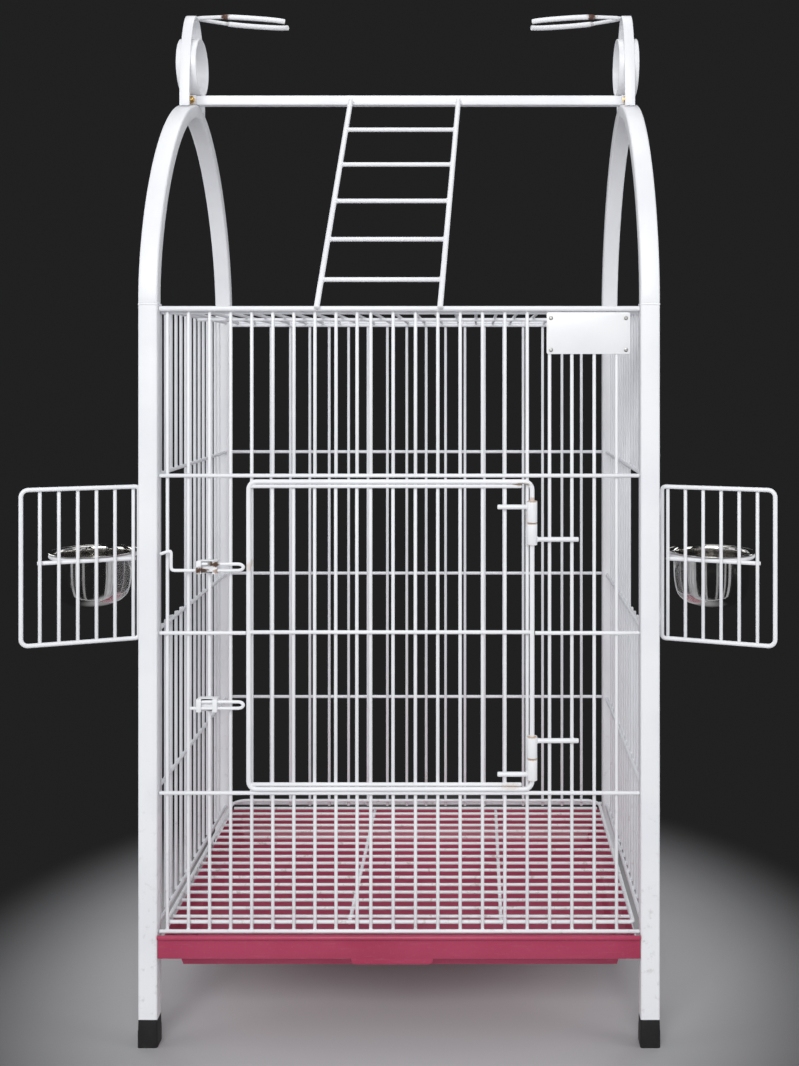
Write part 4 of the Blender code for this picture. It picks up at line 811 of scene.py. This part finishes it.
PIN_X, PIN_Y = 0.1532, -0.19607
DOOR_LEFT, DOOR_LOW, DOOR_HIGH, DOOR_ROD_R, DOOR_CORNER = -0.17368, 0.2956, 0.6503, 0.00275, 0.009
bar_y, rail_y, weld_y, rail_left, rail_right = -0.19182, -0.19557, -0.19370, -0.1723, 0.1412
low_rail, middle_rail, high_rail = 0.3009, 0.4765, 0.6450
outline = bent_round((DOOR_LEFT, DOOR_LOW), (PIN_X, DOOR_HIGH), [DOOR_CORNER] * 4)
door_frame = bent([(x, PIN_Y, z) for x, z in outline], DOOR_ROD_R, closed=True, sides=16)
wires = row(CUT_BARS, X, (0, bar_y, DOOR_LOW - 0.001), (0, bar_y, DOOR_HIGH + 0.001), BAR_R)
wires += row((low_rail, high_rail), Z, (rail_left, rail_y, 0), (rail_right, rail_y, 0), RAIL_R)
wires.append(rod((DOOR_LEFT, rail_y, middle_rail), (PIN_X, rail_y, middle_rail), RAIL_R))
weld_levels = (DOOR_LOW + 0.0006, low_rail, middle_rail, high_rail, DOOR_HIGH - 0.0006)
door_coat = white_coat("powder_white_door", soil=0.25, rust=[
    ((0.1420, -0.1965, 0.6472), (0.012, 0.005, 0.0024), 0.80, (0.26, 0.17, 0.09, 1)),
    ((PIN_X, -0.1975, 0.6300), (0.005, 0.005, 0.003), 0.50, (0.42, 0.25, 0.12, 1)),
    ((0.1290, -0.1975, 0.2990), (0.014, 0.005, 0.0045), 0.30, (0.50, 0.33, 0.17, 1)),
    ((rail_left, -0.1975, 0.5524), (0.005, 0.005, 0.006), 0.35, (0.45, 0.28, 0.14, 1))])
door = fused([grille(wires, [(x, weld_y, z) for x in CUT_BARS for z in weld_levels], Y), door_frame])
dressed(door, "door_wires", "main_door", body="door", coat=door_coat)


# Hinge barrels: short tubes on the pin side of the door's frame. At each hinge one has an arm
# welded to the door's wires and the other an arm welded to the panel's. Rust has crept from the joints.

def barrel(x, y, low, high, outer, bore):
    """A short tube on an upright pin, with both ends chamfered."""
    made = started(bpy.ops.mesh.primitive_cylinder_add, vertices=28, radius=outer, depth=high - low,
                   end_fill_type="NOTHING", location=(x, y, (low + high) / 2))
    modified(made, "SOLIDIFY", thickness=outer - bore, offset=-1, use_even_offset=True)
    eased(made, 0.0004)
    return made


HINGE_RUST = (0.46, 0.27, 0.12, 1)
HALF_JOINT, BARREL_LONG, BARREL_R, BARREL_BORE, ARM_R = 0.0004, 0.025, 0.0060, 0.00318, 0.0028
for level, joint, away in (("upper", 0.6028, 1), ("lower", 0.3315, -1)):
    for holder, body, sign, arm_y, reach, share in (
            ("door", "door", 1, -0.19692, -0.040, 0.72), ("panel", "cage", -1, -0.19417, 0.054, 0.76)):
        near = joint + sign * away * HALF_JOINT
        far = near + sign * away * BARREL_LONG
        low, high = min(near, far), max(near, far)
        z = near + (far - near) * share
        side = math.copysign(1, reach)
        parts = [barrel(PIN_X, PIN_Y, low, high, BARREL_R, BARREL_BORE),
                 rod((PIN_X + side * 0.0048, arm_y, z), (PIN_X + reach, arm_y, z), ARM_R, 14),
                 nugget((PIN_X + side * 0.0062, arm_y + 0.0002, z), (0.0014, 0.0034, 0.0037))]
        if holder == "panel":
            parts.append(nugget((0.1998, -0.19235, z), (0.0036, 0.0016, 0.0034)))
        coat = white_coat(f"powder_white_{holder}_barrel_{level}", soil=0.0, rust=[
            ((PIN_X, PIN_Y - 0.004, high), (0.009, 0.006, 0.0016), 0.75, HINGE_RUST),
            ((PIN_X - 0.004, PIN_Y - 0.004, low), (0.006, 0.006, 0.0012), 0.45, HINGE_RUST)])
        dressed(fused(parts), f"{holder}_barrel_{level}", f"{holder}_knuckle_{level}", body=body, coat=coat)


# Latches: each a hairpin of wire that slides behind two straps and over the door's edge.
# The upper one has a grip bent up at its end, and its coat is chipped and rusty.

LATCH_TIP, LATCH_Y, LATCH_R, HALF_PIN = -0.17893, -0.20112, 0.0019, 0.0037
SHORT_LIMB, GRIP_TOP = 0.048, 0.0193


def hairpin(z, length, grip):
    """The latch's wire, from the end of its upper limb round the tip to the end of the lower one."""
    turn = [(1.5, 1), (0.5, 0.72), (0, 0), (0.5, -0.72), (1.5, -1)]
    path = [(LATCH_TIP - SHORT_LIMB, HALF_PIN)]
    path += through([(LATCH_TIP - HALF_PIN * back, HALF_PIN * up) for back, up in turn])
    end = LATCH_TIP - length
    if grip:
        path += through([(end, -HALF_PIN), (end - 0.003, 0.001 - HALF_PIN), (end - 0.004, 0.004 - HALF_PIN)])
        path += through([(end - 0.004, GRIP_TOP - 0.003), (end - 0.006, GRIP_TOP - 0.001),
                         (end - 0.016, GRIP_TOP - 0.004)])
    else:
        path.append((end, -HALF_PIN))
    return bent([(x, LATCH_Y, z + rise) for x, rise in path], LATCH_R)


CHIPPED, BLEEDING = (0.085, 0.040, 0.022, 1), (0.30, 0.16, 0.08, 1)
for level, z, length, grip in (("upper", 0.5524, 0.079, True), ("lower", 0.3940, 0.061, False)):
    if grip:
        on_wire = [((-0.2130, -0.2030, z + 0.003), (0.008, 0.005, 0.004), 1.0, CHIPPED),
                   ((-0.2260, -0.2030, z - 0.003), (0.009, 0.005, 0.004), 1.0, CHIPPED)]
        on_straps = [((-0.2310, -0.2040, z - 0.003), (0.007, 0.008, 0.005), 1.0, CHIPPED),
                     ((-0.2100, -0.2040, z + 0.004), (0.007, 0.008, 0.004), 1.0, CHIPPED),
                     ((-0.2090, -0.2040, z - 0.004), (0.005, 0.008, 0.003), 0.8, BLEEDING)]
    else:
        on_wire = [((-0.2200, -0.2030, z), (0.006, 0.004, 0.002), 0.35, CHIPPED)]
        on_straps = [((-0.2200, -0.2040, z), (0.006, 0.006, 0.002), 0.35, CHIPPED)]
    coat = white_coat(f"powder_white_latch_{level}", soil=0.0, rust=on_wire)
    dressed(hairpin(z, length, grip), f"latch_wire_{level}", f"latch_bolt_{level}", body=f"{level}_latch",
            coat=coat)
    straps, coat = f"latch_guide_{level}", white_coat(f"powder_white_guide_{level}", soil=0.0, rust=on_straps)
    dressed(softened(straps, 0.00045), f"guide_straps_{level}", straps, coat=coat)


# Feeder doors: a bent frame with six wires welded inside it, on two barrels that turn on a rod
# behind the front post. They stand open, with the cup's ring on their inner side.

OPEN, HINGE_Y = math.radians(110), -0.17057
feeder_bars = [0.137 - 0.0206 * (i + 1) for i in range(6)]


def opened(sx):
    """Takes the closed door's own frame, hinge axis at the origin, to its open place."""
    return Matrix.Translation((sx * FACE_X, HINGE_Y, 0)) @ Matrix.Rotation(-sx * OPEN, 4, "Z")


def swung(parts, sx):
    made = fused(parts)
    made.data.transform(opened(sx))
    return made


FEEDER_LOW, FEEDER_HIGH, FEEDER_HEEL, FEEDER_REACH = 0.4650, 0.6425, 0.00727, 0.13658
SLEEVE_LONG, SLEEVE_R, SLEEVE_BORE = 0.020, 0.0047, 0.00262
RING_OUT, RING_ALONG, RING_LEVEL, CUP_RING_R = 0.0578, 0.056, 0.557, 0.049
outline = bent_round((FEEDER_HEEL, FEEDER_LOW), (FEEDER_REACH, FEEDER_HIGH), (0.008, 0.004, 0.004, 0.008))
weld_levels = FEEDER_LOW + 0.0002, FEEDER_HIGH - 0.0002
for side, sx in SIDES:
    body = f"{side}_feeder"
    door_rod = bent([(0, y, z) for y, z in outline], 0.0025, closed=True, sides=14)
    x = -sx * 0.0040
    wires = row(feeder_bars, Y, (x, 0, FEEDER_LOW - 0.001), (x, 0, FEEDER_HIGH + 0.001), BAR_R)
    crossings = [(-sx * 0.0022, y, z) for y in feeder_bars for z in weld_levels]
    door = swung([grille(wires, crossings, X, 0.0028, 0.0014), door_rod], sx)
    dressed(door, f"feeder_wires_{side}", f"feeder_door_{side}", body=body)
    for level, start in (("lower", 0.479), ("upper", 0.6085)):
        sleeve = [barrel(0, 0, start, start + SLEEVE_LONG, SLEEVE_R, SLEEVE_BORE),
                  nugget((0, SLEEVE_R, start + SLEEVE_LONG / 2), (0.0020, 0.0012, 0.0060))]
        dressed(swung(sleeve, sx), f"feeder_sleeve_{side}_{level}", f"feeder_barrel_{side}_{level}", body=body)
    lug_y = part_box(f"feeder_pin_{side}")[0][1]
    pin = softened(f"feeder_pin_{side}", 0.0003, ends=lambda place: place.y < lug_y + 0.0002,
                   move=(0, BETWEEN_FRONT_Y - lug_y, 0))
    dressed(pin, f"feeder_rod_{side}", f"feeder_pin_{side}")
    circle = arc(-sx * RING_OUT, RING_ALONG, CUP_RING_R, steps=48)
    ring = [bent([(x, y, RING_LEVEL) for x, y in circle], 0.0025, closed=True),
            rod((-sx * 0.0088, 0.0104, RING_LEVEL), (-sx * 0.0088, 0.1194, RING_LEVEL), 0.0024),
            nugget((-sx * 0.0086, RING_ALONG, RING_LEVEL), (0.0030, 0.0060, 0.0026))]
    dressed(swung(ring, sx), f"cup_ring_{side}", f"feeder_ring_{side}", body=body)


# Cups: spun from thin stainless sheet and polished, with a flat rim that rests on the ring,
# faint turning lines inside and water marks.

spun_steel, given, out = new_group("spun_steel", {
    "Clean": "Color", "Stained": "Color", "Stain Amount": "Float", "Roughness": "Float"})
lines = add_node(spun_steel, "Mapping", {"Vector": given["Place"], "Scale": (18.0, 18.0, 900.0)}).outputs[0]
turned = noise(spun_steel, lines, scale=1.0, detail=3.0)
blotch = noise(spun_steel, given["Place"], scale=70.0, detail=4.0, roughness=0.6)
blotch = ramped(spun_steel, blotch, low=0.46, high=0.70)
stain = math_node(spun_steel, "MULTIPLY", blotch, given["Stain Amount"])
dents = noise(spun_steel, given["Place"], scale=24.0, detail=1.0)
polish = math_node(spun_steel, "MULTIPLY_ADD", turned, 0.06, given["Roughness"])
feed(spun_steel, out, {
    "Colour": mixed(spun_steel, stain, given["Clean"], given["Stained"]),
    "Roughness": math_node(spun_steel, "MULTIPLY_ADD", stain, 0.25, polish),
    "Height": math_node(spun_steel, "MULTIPLY_ADD", turned, 0.04, dents)})

steel = finish("polished_steel", spun_steel, {
    "Clean": (0.80, 0.79, 0.77, 1), "Stained": (0.60, 0.56, 0.51, 1), "Stain Amount": 0.35, "Roughness": 0.06},
    (0.15, 0.0012), metallic=1.0)

CUP_FLOOR, CUP_SHEET = 0.49577, 0.0009
# radius and height of the bowl's wall, then of its rolled rim
CUP_WALL = through([(0.0200, 0.0), (0.0270, 0.0022), (0.0346, 0.0064), (0.0395, 0.0118), (0.0423, 0.0179),
                    (0.0448, 0.0320), (0.0453, 0.0480), (0.0455, 0.0615)], 2)
CUP_RIM = [(0.0457, 0.0634), (0.0463, 0.0643), (0.0475, 0.0645), (0.0505, 0.0646), (0.0516, 0.0649),
           (0.0519, 0.0655)]
for side, sx in SIDES:
    centre = opened(sx) @ Vector((-sx * RING_OUT, RING_ALONG, CUP_FLOOR))
    before, before_rise = CUP_WALL[0]
    cup = started(bpy.ops.mesh.primitive_circle_add, vertices=64, radius=before, fill_type="NGON",
                  location=centre)
    with editing():
        for radius, rise in CUP_WALL[1:] + CUP_RIM:
            top = centre.z + before_rise
            choose(cup, "EDGE", lambda middle, way: abs(middle.z - top) < 1e-5
                   and abs((middle.xy - centre.xy).length - before) < before * 0.004)
            lifted((0, 0, rise - before_rise))
            bpy.ops.transform.resize(value=(radius / before, radius / before, 1), center_override=centre)
            before, before_rise = radius, rise
        bpy.ops.mesh.select_all(action="SELECT")
        bpy.ops.mesh.normals_make_consistent(inside=False)
    modified(cup, "SOLIDIFY", thickness=CUP_SHEET, offset=-1, use_even_offset=True)
    dressed(cup, f"cup_bowl_{side}", f"feeder_cup_{side}", body=f"{side}_cup", slot="steel", coat=steel,
            sharp=50)


# Plate: a blank white sheet-metal plate at the top right of the front panel, clamped to the
# wires by four small rivets that go through to two strips behind them.

RIVET_LEVELS, RIVET_Y, RIVET_R = (0.8393, 0.8023), -0.19272, 0.0024
sheet = block((0.1703, -0.19232, 0.7976), (0.2670, -0.19112, 0.8460))
rounded(sheet, Y, 0.0022)
eased(sheet, 0.0003)
parts = [sheet]
for z in RIVET_LEVELS:
    strip = block((0.1718, -0.18700, z - 0.0030), (0.2656, -0.18600, z + 0.0030))
    eased(strip, 0.0003)
    parts.append(strip)
white_plate = white_coat("plate_white", coat=(0.87, 0.875, 0.885, 1), soil=0.0, roughness=0.28, rust=[
    ((0.1688, -0.1920, 0.8300), (0.0040, 0.004, 0.010), 0.30, (0.50, 0.46, 0.42, 1))])
dressed(fused(parts), "blank_plate", coat=white_plate)

parts = []
for x in (0.1753, 0.2621):
    for z in RIVET_LEVELS:
        place = (x, RIVET_Y, z)
        parts.append(round_head(place, RIVET_R, 0.0010, edge=0.0007, rim=0.0006, dish=0.0003, sides=20))
        parts.append(rod((x, -0.19250, z), (x, -0.18540, z), 0.0011, 10))
zinc = finish("dull_zinc", tarnish, {
    "Bright": (0.60, 0.60, 0.59, 1), "Dull": (0.34, 0.33, 0.31, 1), "Grain Scale": 700.0, "Roughness": 0.32},
    metallic=1.0)
dressed(fused(parts), "plate_rivets", slot="steel", coat=zinc)


# Floor: a pale studio floor that, as the camera sees it, darkens away from the cage into the charcoal of the
# room: a painted pool of light round the cage.

def looked_at(tree):
    """1 for what the camera sees, also in metal and through glass, and 0 for bounced light."""
    rays = add_node(tree, "LightPath", {}).outputs
    return math_node(tree, "MAXIMUM", rays["Is Camera Ray"],
                     math_node(tree, "MAXIMUM", rays["Is Glossy Ray"], rays["Is Transmission Ray"]))


PALE, BLACK, CHARCOAL = (0.50, 0.50, 0.51, 1), (0, 0, 0, 1), (0.0150, 0.0150, 0.0156, 1)
PALE_TO, DARK_FROM = 0.24, 0.66
floor = started(bpy.ops.mesh.primitive_plane_add, size=14)
floor.name = "studio_floor"
floor_paint = bpy.data.materials.new("pale_floor_painted_pool")
floor_paint.use_nodes = True
tree = floor_paint.node_tree
place = add_node(tree, "TexCoord", {}).outputs["Object"]
distance = add_node(tree, "VectorMath", {0: place}, operation="LENGTH").outputs["Value"]
# Painted pool of light: to the camera the floor is pale near the cage and fades to charcoal further out, while
# bounced light finds it pale everywhere.
painted_pool_fade = math_node(tree, "MULTIPLY", ramped(tree, distance, PALE_TO, DARK_FROM), looked_at(tree))
feed(tree, tree.nodes["Principled BSDF"], {
    "Base Color": mixed(tree, painted_pool_fade, PALE, BLACK), "Roughness": 1.0, "Specular IOR Level": 0.0,
    "Emission Color": mixed(tree, painted_pool_fade, BLACK, CHARCOAL), "Emission Strength": 1.0})
floor.data.materials.append(floor_paint)


# Light: one broad soft lamp high in front, a weaker one at each side, two behind and one above,
# in a grey room that looks charcoal.

def lamp(name, place, aim, size, watts):
    turn = (Vector(aim) - Vector(place)).to_track_quat("-Z", "Y").to_euler()
    bpy.ops.object.select_all(action="DESELECT")
    bpy.ops.object.light_add(type="AREA", location=place, rotation=turn)
    made = bpy.context.object
    made.name = name
    made.data.shape = "RECTANGLE"
    made.data.size, made.data.size_y = size
    made.data.energy = watts


lamp("front_lamp", (-0.3, -3.1, 2.0), (0, 0, 0.65), (2.4, 1.6), 82)
lamp("left_lamp", (-2.7, -0.8, 1.3), (0, 0, 0.6), (1.1, 1.9), 12)
lamp("right_lamp", (2.7, -1.0, 1.3), (0, 0, 0.6), (1.1, 1.9), 16)
lamp("left_rim_lamp", (-2.1, 1.9, 1.2), (0, 0, 0.6), (0.9, 1.6), 9)
lamp("right_rim_lamp", (2.1, 1.9, 1.2), (0, 0, 0.6), (0.9, 1.6), 9)
lamp("top_lamp", (0, 0.4, 3.2), (0, 0, 0.7), (1.6, 1.6), 17)

GREY = (0.26, 0.265, 0.28, 1)
room = bpy.data.worlds.new("grey_room")
bpy.context.scene.world = room
room.use_nodes = True
tree = room.node_tree
feed(tree, tree.nodes["Background"], {"Color": mixed(tree, looked_at(tree), GREY, CHARCOAL), "Strength": 1.0})

bpy.context.scene.view_settings.view_transform = "Standard"
